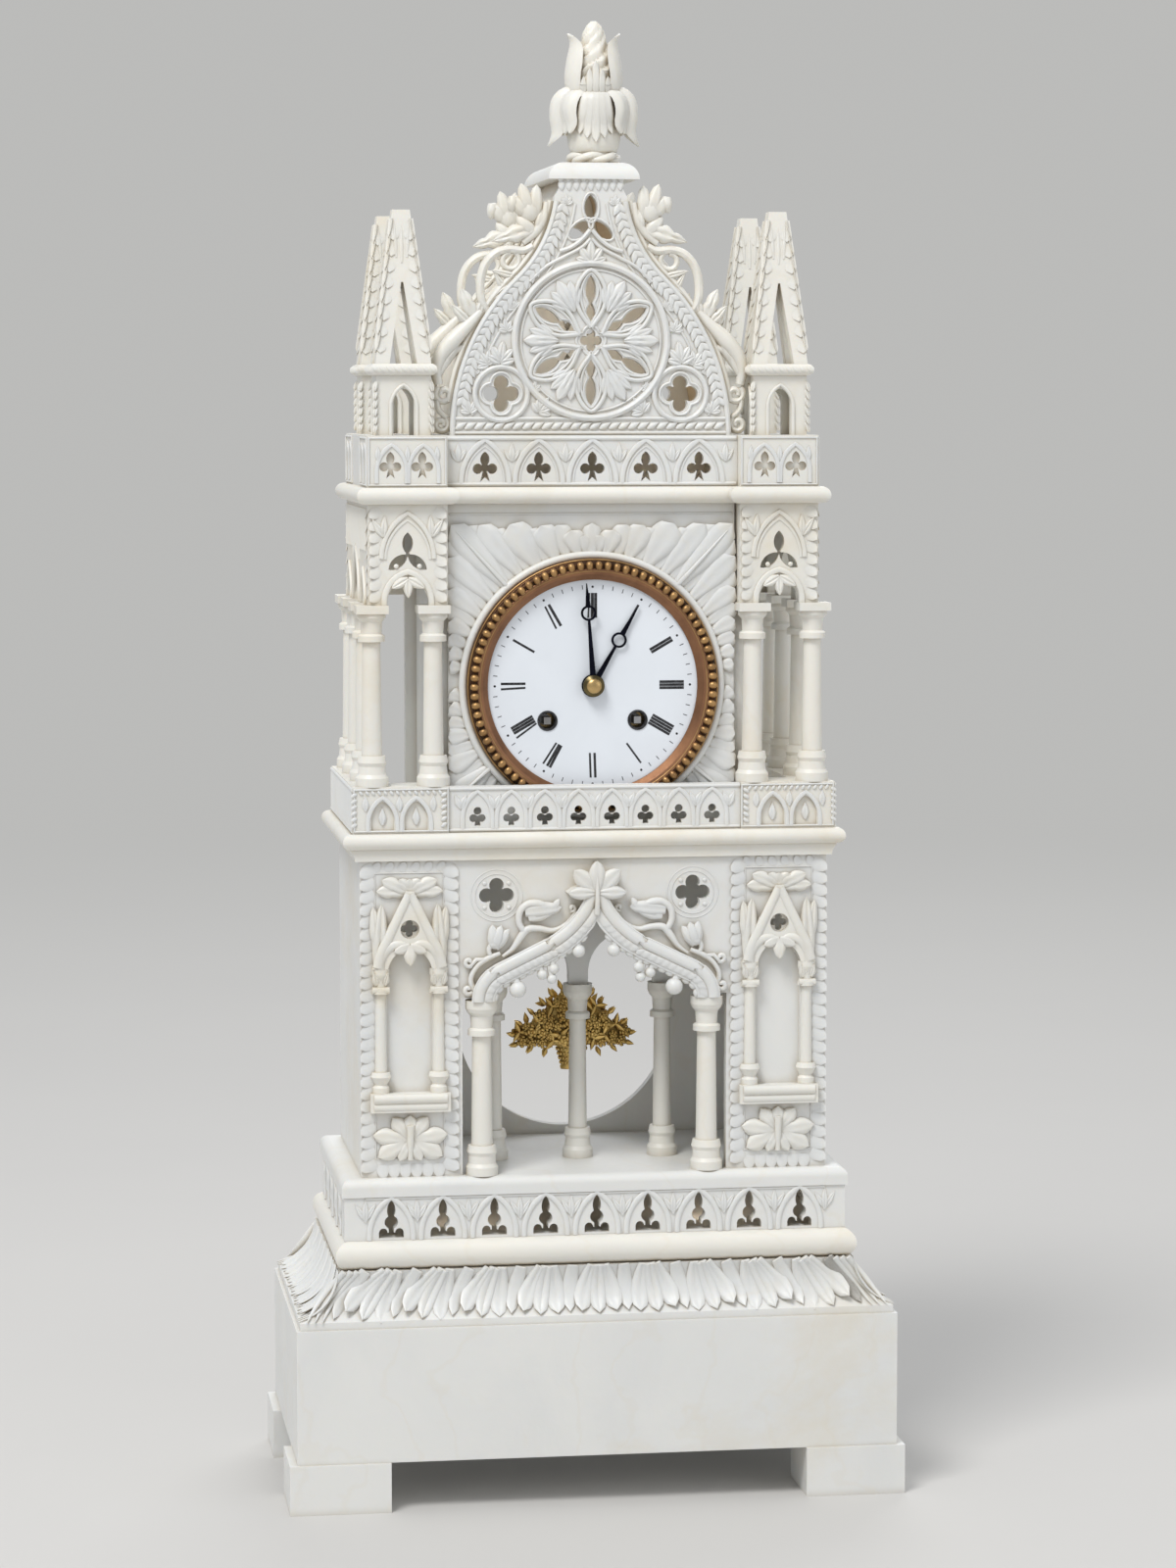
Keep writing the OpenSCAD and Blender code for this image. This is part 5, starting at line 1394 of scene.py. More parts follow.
@dataclass
class Pinnacles(SubAssembly):
    """Arch ribs, crocket strips, rope edges and leafy spires of the four pinnacles.

    Attributes:
        box_half: Half-width of a pinnacle's box.
        slab_half: Distance of the rope edge from the pinnacle's middle.
        spire_half: Half-width of a spire's foot.
        inset: How far a spire's side leans in on its way up.
    """

    box_half: float = 10.7
    slab_half: float = 12.9
    spire_half: float = 11.0
    inset: float = 7.5

    def build(self) -> None:
        """Cut the four pinnacles' carving."""
        boxes, slabs, spires = (Seat.of(node) for node in ("pinnacle_boxes", "pinnacle_slabs", "spires"))
        x, y = boxes.right - self.box_half, boxes.front - self.box_half
        height = round(spires.top - spires.foot, 3)
        lean = math.atan2(self.inset, height)
        slope = height / math.cos(lean)
        rib = Bench.rod(pointed_arch(5.2, 20.0), 0.75)
        scale = Leaf(8.6, 4.8, 0.3, curl=0.9, groove=0.0, foot=0.95, point=0.3, rows=7, belly=0.7).cut()
        flute = Leaf(15.0, 1.9, 0.6, groove=0.0, foot=0.6, rows=5, half=2).cut()
        crocket = Leaf(4.4, 2.6, 0.8, curl=0.9, groove=0.1, foot=0.6, point=0.45, rows=4, half=2).cut()
        twist = Bench.bead((1.0, 2.0, 1.0), 8, 5)
        self.start("pinnacle_carving", at(0, 0))
        for centre in (at(sx * x, sy * y) for sx in (-1, 1) for sy in (-1, 1)):
            for side in Side:
                self.bed = centre @ face(side, self.box_half, 0.0, boxes.foot)
                self.lay(rib, at(0, 0, 0.1))
                for edge, turn in ((-9.888, 152), (9.888, -152)):
                    self.lay(crocket, *row((edge, 3.4), (edge, 23.0), 3.4, at(0, 0, -0.3, turn)))
                self.bed = centre @ face(side, self.slab_half, 0.0, slabs.middle)
                self.lay(twist, *row((-12.8, 0.0), (12.8, 0.0), 2.7, at(0, 0, -0.3, 48)))
                foot = face(side, self.spire_half, 0.0, spires.foot)
                self.bed = centre @ foot @ Matrix.Rotation(-lean, 4, "X")
                for sign in (1, -1):
                    self.lay(scale, *row((sign * 10.2, 8.0), (sign * 3.6, slope - 2.0), 6.4,
                                         at(-sign * 1.5, 1.6, -0.4, 180 + sign * 6)))
                for off in (-2.1, 0.0, 2.1):
                    self.lay(flute, at(off, slope - 21.0 + abs(off), -0.1, -off * 1.4))
        self.carving.piece("case", Slot.ALABASTER, self.finish.cream)


@dataclass
class Gable(SubAssembly):
    """Relief of the ogee gables, front and back.

    Attributes:
        rose_up: Height of the rose over the gable's foot.
    """

    rose_up: float = 37.4

    @staticmethod
    def outline(off: float) -> list[Flat]:
        """Right-hand edge from the foot to the cap.

        Args:
            off: How far outward the line is moved.

        Returns:
            The points of the line.
        """
        inner, radius, hollow_radius, bend = -30.6, 87.0, 51.4, 46.0
        reach = radius + hollow_radius
        cx = inner + reach * math.cos(math.radians(bend))
        cy = reach * math.sin(math.radians(bend))
        convex = arc(inner, 0.0, radius + off, 0.0, bend, 16)
        hollow = arc(cx, cy, hollow_radius - off, 180.0 + bend, 188.0, 12)
        return [p for p in convex + hollow[1:] if p[1] < 100.6]

    @staticmethod
    def petal_line(low: float, high: float, half: float) -> list[Flat]:
        """Pointed oval.

        Args:
            low: Height of its foot.
            high: Height of its head.
            half: Half of its width.

        Returns:
            The points of its outline.
        """
        middle = (low + high) / 2 + 1.5
        right = [(half * 0.75, low + (middle - low) * 0.5), (half, middle),
                 (half * 0.7, high - (high - middle) * 0.4)]
        left = [(-x, y) for x, y in reversed(right)]
        return smooth([(0, low), *right, (0, high), *left, (0, low)], 4)

    @staticmethod
    def twin_lens(margin: float) -> list[Flat]:
        """Outline round the two lenses of a petal.

        Args:
            margin: Room left round the lenses.

        Returns:
            The points of the outline.
        """
        low_end, high_end, steps = 4.3, 26.2, 24
        right = []
        for i in range(steps + 1):
            y = low_end + 21.9 * i / steps
            low = max(0.0, 1 - ((y - 10.0) / 5.5) ** 2) * 1.9
            high = max(0.0, 1 - ((y - 20.0) / 6.0) ** 2) * 2.2
            taper = min(1.0, (y - low_end) / 1.4, (high_end - y) / 1.4)
            right.append(((max(low, high) + margin) * taper, y))
        return right + [(-x, y) for x, y in right[-2:0:-1]]

    @staticmethod
    def lens_line(centre: float, half_length: float, half: float) -> list[Flat]:
        """Lens outline, up its right side and down its left.

        Args:
            centre: Height of its middle.
            half_length: Half of its length.
            half: Half of its width.

        Returns:
            The points of its outline.
        """
        turns = [math.pi * i / 8 for i in range(9)]
        right = [(half * math.sin(turn), centre - half_length * math.cos(turn)) for turn in turns]
        return right + [(-x, y) for x, y in right[-2::-1]]

    @staticmethod
    def foil_line(radius: float, margin: float) -> list[Flat]:
        """Outline of a quatrefoil.

        Args:
            radius: Reach of its lobes.
            margin: Room left round them.

        Returns:
            The points of the outline.
        """
        points: list[Flat] = []
        for turn in range(0, 360, 90):
            cx = radius * 0.58 * math.cos(math.radians(turn))
            cy = radius * 0.58 * math.sin(math.radians(turn))
            points += arc(cx, cy, radius * 0.42 + margin, turn - 85, turn + 85, 9)
        return points

    def rose(self) -> None:
        """Lay the rose window: rings, six petals, middle quatrefoil and leaves between."""
        self.lay(Bench.hoop(30.6, 1.5, 72), at(0, 0, 0.2))
        self.lay(Bench.hoop(28.0, 0.55, 72))
        outer = Bench.rod(self.petal_line(5.2, 28.0, 6.0), 0.95)
        inner = Bench.rod(self.petal_line(6.4, 26.6, 4.1), 0.6)
        lens = Bench.rod(self.twin_lens(0.75), 0.42, closed=True)
        fan = Leaf(14.0, 6.4, 2.0, curl=0.6, lobes=2, point=0.45, rows=9, belly=0.55).cut()
        frond = Leaf(12.0, 5.0, 1.7, curl=0.6, point=0.45, rows=6, belly=0.55).cut()
        for turn in range(0, 360, 60):
            self.lay(outer, at(0, 0, 0.2, turn))
            self.lay(inner, at(0, 0, 0.1, turn))
            self.lay(lens, at(0, 0, 0, turn))
            between = at(0, 0, 0, turn + 30)
            self.lay(fan, between @ at(0, 13.2, 0.1))
            self.lay(frond, *(between @ at(0, 13.6, -0.1, lean, 1.0 if abs(lean) < 30 else 0.8)
                              for lean in (-22, 22, -42, 42)))
        self.lay(Bench.rod(self.foil_line(4.6, 1.3), 0.6, closed=True))

    def borders(self) -> None:
        """Lay the edge roll, the leaf beads along the ogee and the rope border at the foot."""
        self.both(Bench.rod(self.outline(-0.9), 1.2))
        self.both(Bench.rod([p for p in self.outline(-8.4) if p[1] > 7.5], 0.6))
        shell = Leaf(5.4, 3.3, 1.1, curl=0.6, groove=0.2, foot=0.6, point=0.6, rows=5).cut()
        for x, y, turn in along([p for p in self.outline(-3.6) if p[1] > 9.0], 3.3):
            self.both(shell, *(at(x, y, 0.0, turn - 90 + lean) @ at(0, -1.0) for lean in (138, -138)))
        self.lay(Bench.bar(55.2, 0.8), at(0, 0.9), at(0, 6.6))
        strand = Leaf(5.6, 3.0, 1.1, groove=0.0, foot=0.35, rows=5, half=2).cut()
        self.lay(strand, *row((-56.4, 2.5), (51.6, 2.5), 3.9, at(0, 0, 0, -62)))

    def fillers(self) -> None:
        """Lay the quatrefoil rings, the ogee over the rose, and acanthus in the free ground."""
        for block in (Bench.hoop(10.6, 1.2), Bench.rod(self.foil_line(7.2, 1.2), 0.6, closed=True)):
            self.both(block, at(36, 16.4, 0.1))
        for knots, radius in (([(12.6, 72.6), (8.0, 74.2), (3.6, 77.4), (0.4, 81.0)], 0.95),
                              ([(24.5, 60.6), (18.0, 66.6), (10.5, 70.6), (4.0, 74.0), (0.2, 77.6)], 0.8)):
            self.both(Bench.rod(smooth(knots), radius), at(0, 0, 0.3))
        lens = Bench.rod(self.lens_line(5.3, 5.9, 3.2), 0.55)
        self.lay(lens, *(at(0, 84.5, 0.1, turn) for turn in (0, 128, -128)))
        tile = Leaf(3.6, 3.0, 0.8, curl=0.3, groove=0.1, foot=0.8, point=0.5, rows=4).cut()
        for up, half in ((103.0, 13.6), (100.0, 13.2)):
            self.lay(tile, *row((-half, up), (half, up), 3.1, at(0, 0, -0.1, 180)))
        lobes = [(Leaf(9.0 - abs(k) * 1.4, 4.4, 1.7, curl=0.5, point=0.45, rows=6).cut(), k * 34)
                 for k in range(-2, 3)]
        for x, y, turn, size in (
                (0.0, 67.6, 0, 1.05), (36.4, 28.4, -8, 1.0), (41.0, 27.6, 34, 0.8), (21.0, 9.0, -34, 0.8),
                (48.6, 8.8, 10, 0.66), (33.6, 41.0, 12, 0.6), (30.6, 50.0, 26, 0.56), (25.6, 57.6, 40, 0.5),
                (23.4, 17.6, -20, 0.5), (46.0, 24.0, 30, 0.42), (12.2, 82.6, 8, 0.5), (9.6, 91.0, 4, 0.45),
                (18.0, 67.6, 44, 0.42)):
            put = self.both if x else self.lay
            for leaf, spread in lobes:
                put(leaf, at(x, y, 0.0, spread - turn, size))

    def build(self) -> None:
        """Cut both gables' relief."""
        for side, name in ((Side.FRONT, "front_gable_relief"), (Side.BACK, "back_gable_relief")):
            gable = Seat.of("gables").face(side)
            self.start(name, gable @ at(0, self.rose_up))
            self.rose()
            self.bed = gable
            self.borders()
            self.fillers()
            self.carving.piece("case", Slot.ALABASTER, self.finish.stone, crease=45)


@dataclass
class CrestFoliage(SubAssembly):
    """Openwork stems, volutes and leaves along the edges of both gables.

    Attributes:
        middle: Distance of the foliage's middle plane from the axis.
    """

    middle: float = 33.3

    def stems(self) -> None:
        """Lay the stems and volutes, each with one radius or with three from its start to its end."""
        arch = [(23.0, 74.6), (27.0, 72.9), (32.6, 73.4), (38.0, 71.6), (42.2, 66.8), (43.9, 60.0),
                (43.4, 53.0), (40.6, 48.4)]
        sweep = [(43.6, 49.0), (47.4, 44.8), (53.6, 38.6), (59.4, 32.0), (61.6, 25.6), (60.6, 20.0)]
        for line, radius in (
                (Gable.outline(1.3)[3:], 1.4),
                (smooth(arch), 1.8),
                (volute(32.0, 69.0, 3.9, 110, 0.95, 0.72), 1.15),
                (smooth(sweep), (1.8, 3.5, 1.8)),
                (smooth([(51.0, 35.0), (55.0, 32.6), (59.0, 27.0), (62.0, 21.0)]), (1.2, 2.0, 1.2)),
                (volute(58.6, 16.2, 3.6, 50, -1.2, 0.35), 1.3),
                (smooth([(61.4, 13.8), (60.6, 10.0), (57.4, 7.0)]), 1.2),
                (volute(59.8, 4.2, 3.2, 130, 1.2, 0.35), 1.3),
                (smooth([(17.4, 92.0), (18.4, 86.0), (21.4, 80.6), (27.0, 76.0)]), (1.3, 2.3, 1.6))):
            if isinstance(radius, tuple):
                radius = np.interp(np.linspace(0, 1, len(line)), (0, 0.45, 1), radius).tolist()
            self.both(Bench.rod(line, radius))

    def leaves(self) -> None:
        """Lay the leaves, each with another behind it that faces the other way."""
        back = Matrix.Diagonal((-1.0, 1.0, -1.0, 1.0))
        for x, y, turn, leaf in (
                (22.2, 86.0, 4, Leaf(12.8, 6.0, 2.6, curl=0.4, groove=0.25, foot=0.75, point=0.4)),
                (24.0, 86.6, -16, Leaf(13.2, 6.2, 2.8, curl=0.4, groove=0.25, foot=0.75, point=0.42)),
                (24.6, 87.0, -46, Leaf(10.4, 6.4, 2.6, groove=0.2, foot=0.8, point=0.36, rows=7)),
                (30.6, 94.0, -172, Leaf(6.4, 4.4, 2.4, groove=0.1, foot=0.9, point=0.4)),
                (20.6, 81.0, 8, Leaf(8.6, 4.6, 2.4, groove=0.2, foot=0.7, point=0.5)),
                (22.6, 81.8, -108, Leaf(17.4, 8.4, 3.0, groove=0.35, lobes=3, foot=0.7, point=0.7, rows=14,
                                        half=5, belly=0.4)),
                (22.8, 79.6, -44, Leaf(9.4, 6.0, 2.6, groove=0.2, foot=0.8, point=0.42)),
                (29.0, 62.4, -76, Leaf(11.0, 3.6, 1.8, foot=0.4, point=0.6)),
                (31.6, 59.6, -128, Leaf(12.0, 3.6, 1.8, foot=0.5, point=0.6)),
                (34.0, 57.0, -30, Leaf(9.0, 3.2, 1.6, foot=0.4)),
                (46.4, 46.4, -24, Leaf(12.6, 7.0, 2.4, curl=0.4, lobes=2, foot=0.5, point=0.55, rows=10)),
                (48.6, 44.4, -44, Leaf(9.6, 5.4, 2.2, lobes=2, foot=0.5)),
                (44.6, 46.8, 12, Leaf(8.4, 4.6, 2.0, foot=0.5)),
                (53.0, 38.6, -150, Leaf(15.0, 6.6, 2.6, foot=0.5, point=0.6))):
            place = at(x, y, 0.0, turn)
            self.both(leaf.cut(), place, place @ back)

    def build(self) -> None:
        """Cut the foliage of both gables."""
        self.start("crest_foliage", at(0, 0))
        knop = Bench.bead((4.2, 4.6, 2.6), 14, 8)
        for side in (Side.FRONT, Side.BACK):
            self.bed = face(side, self.middle, 0.0, Seat.of("gables").foot)
            self.both(knop, at(24.2, 88.4))
            self.stems()
            self.leaves()
        self.carving.piece("case", Slot.ALABASTER, self.finish.cream, "crest_scrolls", crease=45)


@dataclass
class Finial(SubAssembly):
    """Twisted ring, cup, four drooping acanthus leaves and an opening bud.

    Attributes:
        place: Where it stands, across and deep.
        turn: How far it is turned on its foot, in degrees.
        foot: Start of every drooping leaf, as distance from the axis and height.
    """

    place: Flat = (4.6, -12.0)
    turn: float = -3.4
    foot: Flat = (7.0, 25.5)

    def ring(self) -> None:
        """Lay two fat strands twisted round the foot."""
        steps, middle, swing, up = 96, 8.5, 1.0, 2.5
        for phase in (0.0, math.pi):
            line = []
            for turn in (2 * math.pi * i / steps for i in range(steps)):
                twist = 3 * turn + phase
                radius = middle + swing * math.cos(twist)
                height = up + swing * math.sin(twist)
                line.append((radius * math.cos(turn), radius * math.sin(turn), height))
            self.lay(Bench.rod(line, 1.6, closed=True, facets=3))

    def cup(self) -> None:
        """Lay the turned core from the ring up to the bud."""
        self.lay(Bench.turned([(0.4, 0.4), (8.6, 0.5), (8.6, 4.6), (9.4, 5.0), (10.3, 8.0), (10.8, 11.0),
                               (10.6, 15.0), (9.6, 21.0), (9.6, 27.0), (9.0, 30.0), (8.0, 35.0),
                               (0.4, 40.0)]))

    @staticmethod
    def follow(knots: Sequence[Flat], shift: float = 0.0) -> Callable[[float], Flat]:
        """Path along knots of distance from the axis and height.

        Args:
            knots: Points of the path.
            shift: Added to the distance from the axis.

        Returns:
            A function from a share of the length to a point.
        """
        line = smooth(knots, 6)

        def spot(u: float) -> Flat:
            """Point at a share of the path."""
            place = u * (len(line) - 1)
            low = min(int(place), len(line) - 2)
            part = place - low
            (ra, za), (rb, zb) = line[low:low + 2]
            return ra * (1 - part) + rb * part + shift, za * (1 - part) + zb * part
        return spot

    @staticmethod
    def wrapped(leaf: Block, fold: float = 0.0, fan: float = 0.0, start: float = 0.0) -> Block:
        """Bend a leaf round the upright axis; its path runs out along y and up along z.

        Args:
            leaf: The leaf, cut along a path of distance and height.
            fold: How far its edges lie back towards the axis, at 10 mm from its middle.
            fan: How far the leaf moves aside on its way from height 27 down to 8.
            start: How far aside it starts.

        Returns:
            The bent leaf.
        """
        x, y, z = leaf.verts.T
        x = x + start + fan * np.clip((27.0 - z) / 19.0, 0.0, 1.2)
        radius = np.maximum(y, 5.0)
        pulled = np.maximum(radius - fold * (x / 10.0) ** 2, 3.0)
        bent = np.stack([pulled * np.cos(x / radius), -pulled * np.sin(x / radius), z], axis=1)
        return Block(bent, leaf.faces)

    def broad(self) -> None:
        """Lay a broad drooping leaf with two narrow ones on each side, and the petal over it."""
        leaf = Leaf(30, 19.0, 2.6, groove=0.35, foot=0.8, point=0.4, rows=16, half=6, belly=0.5).cut(
            self.follow([self.foot, (9.6, 28.6), (13.4, 28.6), (16.6, 25.0), (17.4, 18.5), (17.0, 12.5),
                         (19.2, 7.4)], -1.0))
        petal = Leaf(27, 20.0, 1.6, groove=0.05, foot=0.95, point=0.36, rows=18, half=6, turned=True).cut(
            self.follow([(9.4, 27.0), (10.2, 31.0), (10.3, 36.0), (9.4, 42.0), (8.6, 46.4), (9.0, 49.4),
                         (10.6, 52.0)]))
        flank = Leaf(26, 8.0, 2.0, groove=0.3, foot=0.7, point=0.4, rows=12, half=4, belly=0.6).cut(
            self.follow([self.foot, (9.6, 28.2), (13.0, 26.6), (14.6, 21.5), (14.0, 16.0),
                         (14.6, 12.0)], -1.0))
        self.lay(self.wrapped(leaf, fold=7.0))
        self.lay(self.wrapped(petal))
        for sign in (1, -1):
            for start, fan in ((8.6, 1.4), (4.6, 2.6)):
                self.lay(self.wrapped(flank, fan=fan * sign, start=start * sign))

    def fingers(self) -> None:
        """Lay a leaf of five drooping fingers, and five sprigs that stand over it."""
        for k in (-2, -1, 1, 2, 0):
            path = self.follow([self.foot, (9.4, 28.0), (11.4, 25.6), (11.8, 19.5), (11.2, 14.0 + abs(k)),
                                (12.2, 8.4 + abs(k) * 1.7)], -0.6)
            finger = Leaf(24, 5.6, 1.7, groove=0.25, foot=0.75, point=0.36, rows=12, half=4, belly=0.66)
            self.lay(self.wrapped(finger.cut(path), fan=1.7 * k, start=2.1 * k))
        for k in (-2, -1, 1, 2, 0):
            tip = 40.5 - abs(k) * 3.0
            path = self.follow([(9.2, 27.0), (10.4, 31.0), (10.6, tip - 3.0), (11.6, tip)])
            sprig = Leaf(12, 3.8, 1.3, groove=0.3, foot=0.6, point=0.5, turned=True)
            self.lay(self.wrapped(sprig.cut(path), start=2.5 * k))

    def bud(self) -> None:
        """Lay the twisted serrated tip that rises between the petals."""
        heights = (28.0, 32.0, 38.0, 43.5, 47.5, 51.6, 55.0, 57.0)
        widths = (9.8, 10.8, 10.2, 8.0, 5.8, 4.8, 3.4, 1.1)
        levels, columns, teeth, deep = 32, 56, 6, 0.85
        rings = []
        for i in range(levels + 1):
            z = heights[0] + (heights[-1] - heights[0]) * i / levels
            half_width = float(np.interp(z, heights, widths))
            ring = []
            for k in range(columns):
                turn = 2 * math.pi * k / columns
                ridge = (teeth * turn / (2 * math.pi) - 0.2 * (z - heights[0])) % 1.0
                flute = 1 - 0.2 * ridge ** 1.4
                reach = half_width * flute
                ring.append((reach * math.cos(turn), reach * deep * math.sin(turn), z))
            rings.append(ring)
        self.lay(Bench.loft(rings))

    def build(self) -> None:
        """Cut the finial."""
        base = at(*self.place, Seat.of("finial").foot, self.turn)
        self.start("finial_carving", base)
        self.ring()
        self.cup()
        self.bud()
        for turn, leaves in ((0, self.broad), (90, self.fingers), (180, self.broad), (270, self.fingers)):
            self.bed = base @ at(0, 0, 0, turn)
            leaves()
        self.carving.piece("case", Slot.ALABASTER, self.finish.cream, "finial", crease=50)


# Dial and pendulum


@dataclass
class Dial(SubAssembly):
    """Beads of the bezel, numerals, minute track, winding collars and the hands' dome.

    Attributes:
        beads: Number of pearls round the bezel.
        pearl_r: Radius of their circle.
        hours_r: Radius of the numerals' middles.
        minutes_r: Radius of the minute track.
        key_x: Distance of a winding hole from the dial's middle line.
        dome_out: Distance of the dome's middle from the clock's axis.
    """

    beads: int = 82
    pearl_r: float = 48.0
    hours_r: float = 32.0
    minutes_r: float = 39.4
    key_x: float = 18.2
    dome_out: float = 44.9

    def centre(self, out: float) -> Matrix:
        """Frame at the dial's centre, at a distance from the clock's axis."""
        return face(Side.FRONT, out, 0.0, Seat.of("enamel_dial").middle)

    def bezel(self) -> None:
        """Cut the row of pearls between two fine rolls, and a near-black ring under it that paints shade in
        the gaps between the pearls.
        """
        self.start("bezel_pearls", self.centre(Seat.of("bezel").front))
        pearl = Bench.bead((1.85, 1.55, 1.5), 10, 7)
        for i in range(self.beads):
            self.lay(pearl, at(0, 0, 0, 360 * i / self.beads) @ at(self.pearl_r, 0, 0.3))
        self.lay(Bench.hoop(50.2, 0.5, 90), at(0, 0, -2.6))
        self.lay(Bench.hoop(45.9, 0.45, 90), at(0, 0, -0.6))
        self.carving.piece("case", Slot.BRASS, self.finish.pearl, crease=60)
        # The ring laid under the pearls is near-black: painted shade in the gaps between them.
        self.start("bezel_shade_ring", self.bed)
        self.lay(Bench.hoop(self.pearl_r, 1.75, 90, 3), at(0, 0, -1.45))
        self.carving.piece("case", Slot.BRASS, self.finish.pearl_gap_shade, crease=60)

    def numerals(self) -> None:
        """Cut the worn radial numerals, each stroke by its place, width and slant, and the minute track."""
        strokes = {
            1: [(0.0, 0.97, 0)],
            2: [(-0.62, 1.08, 0), (0.62, 1.08, 0)],
            3: [(-1.22, 1.08, 0), (0, 1.08, 0), (1.22, 1.08, 0)],
            4: [(-1.77, 1.03, 0), (-0.59, 1.03, 0), (0.59, 1.03, 0), (1.77, 1.03, 0)],
            5: [(-0.8, 0.76, 6)],
            6: [(-0.95, 0.97, 2), (0.95, 0.81, 2)],
            7: [(-1.2, 1.08, 2), (-0.1, 1.03, 0), (1.5, 0.76, -3)],
            8: [(-2.1, 0.76, 6), (-0.55, 1.03, 0), (0.6, 1.03, 0), (1.75, 1.03, 0)],
            9: [(-0.95, 0.81, 3), (0.95, 0.97, 0)],
            10: [(0, 0.92, 0)],
            11: [(-1.0, 0.76, -3), (0.9, 1.13, 0)],
            12: [(-1.55, 0.65, -3), (-0.1, 1.19, 0), (1.2, 1.19, 0)],
        }
        self.start("dial_numerals", self.centre(Seat.of("enamel_dial").front))
        for hour, parts in strokes.items():
            spoke = at(0, 0, 0, -30 * hour)
            for x, width, slant in parts:
                self.lay(Bench.slab((width, 9.9, 0.08)), spoke @ at(x, self.hours_r, 0.02, slant))
        tick = Bench.slab((0.3, 1.7, 0.06))
        dot = Bench.bead((0.5, 0.5, 0.05), 10, 4)
        for minute in range(60):
            self.lay(tick if minute % 5 else dot, at(0, 0, 0, -6 * minute) @ at(0, self.minutes_r, 0.02))
        self.carving.piece("case", Slot.ENAMEL, self.finish.ink)

    def collars(self) -> None:
        """Cut the collars that line the two winding holes, open at both ends, in the numerals' black as
        painted shade inside the holes.
        """
        profile = ((3.1, -8.4), (3.1, 0.0), (3.4, 0.35), (4.0, 0.35), (4.1, 0.0), (3.42, -0.1), (3.42, -8.4))
        columns = 28
        tube = Bench.turned(profile, columns)
        last = columns * (len(profile) - 1)
        sides = [f for f in tube.faces if len(f) == 4]
        sides += [(k, (k + 1) % columns, last + (k + 1) % columns, last + k) for k in range(columns)]
        squares = face(Side.FRONT, Seat.of("enamel_dial").front, 0.0, Seat.of("going_arbor").middle)
        self.start("winding_collars", squares)
        self.lay(Block(tube.verts, tuple(sides)), at(-self.key_x, 0), at(self.key_x, 0))
        # The collars take the numerals' black: painted shade inside the winding holes.
        self.carving.piece("case", Slot.BRASS, self.finish.ink)

    def dome(self) -> None:
        """Cut the brass dome in the middle of the dark collet."""
        self.start("collet_dome", self.centre(self.dome_out))
        self.lay(Bench.bead((3.1, 3.1, 1.5), 24, 12))
        self.carving.piece("minute_arbor", Slot.BRASS, self.finish.brass, crease=60)

    def build(self) -> None:
        """Cut the dial's pieces."""
        self.dome()
        self.bezel()
        self.numerals()
        self.collars()


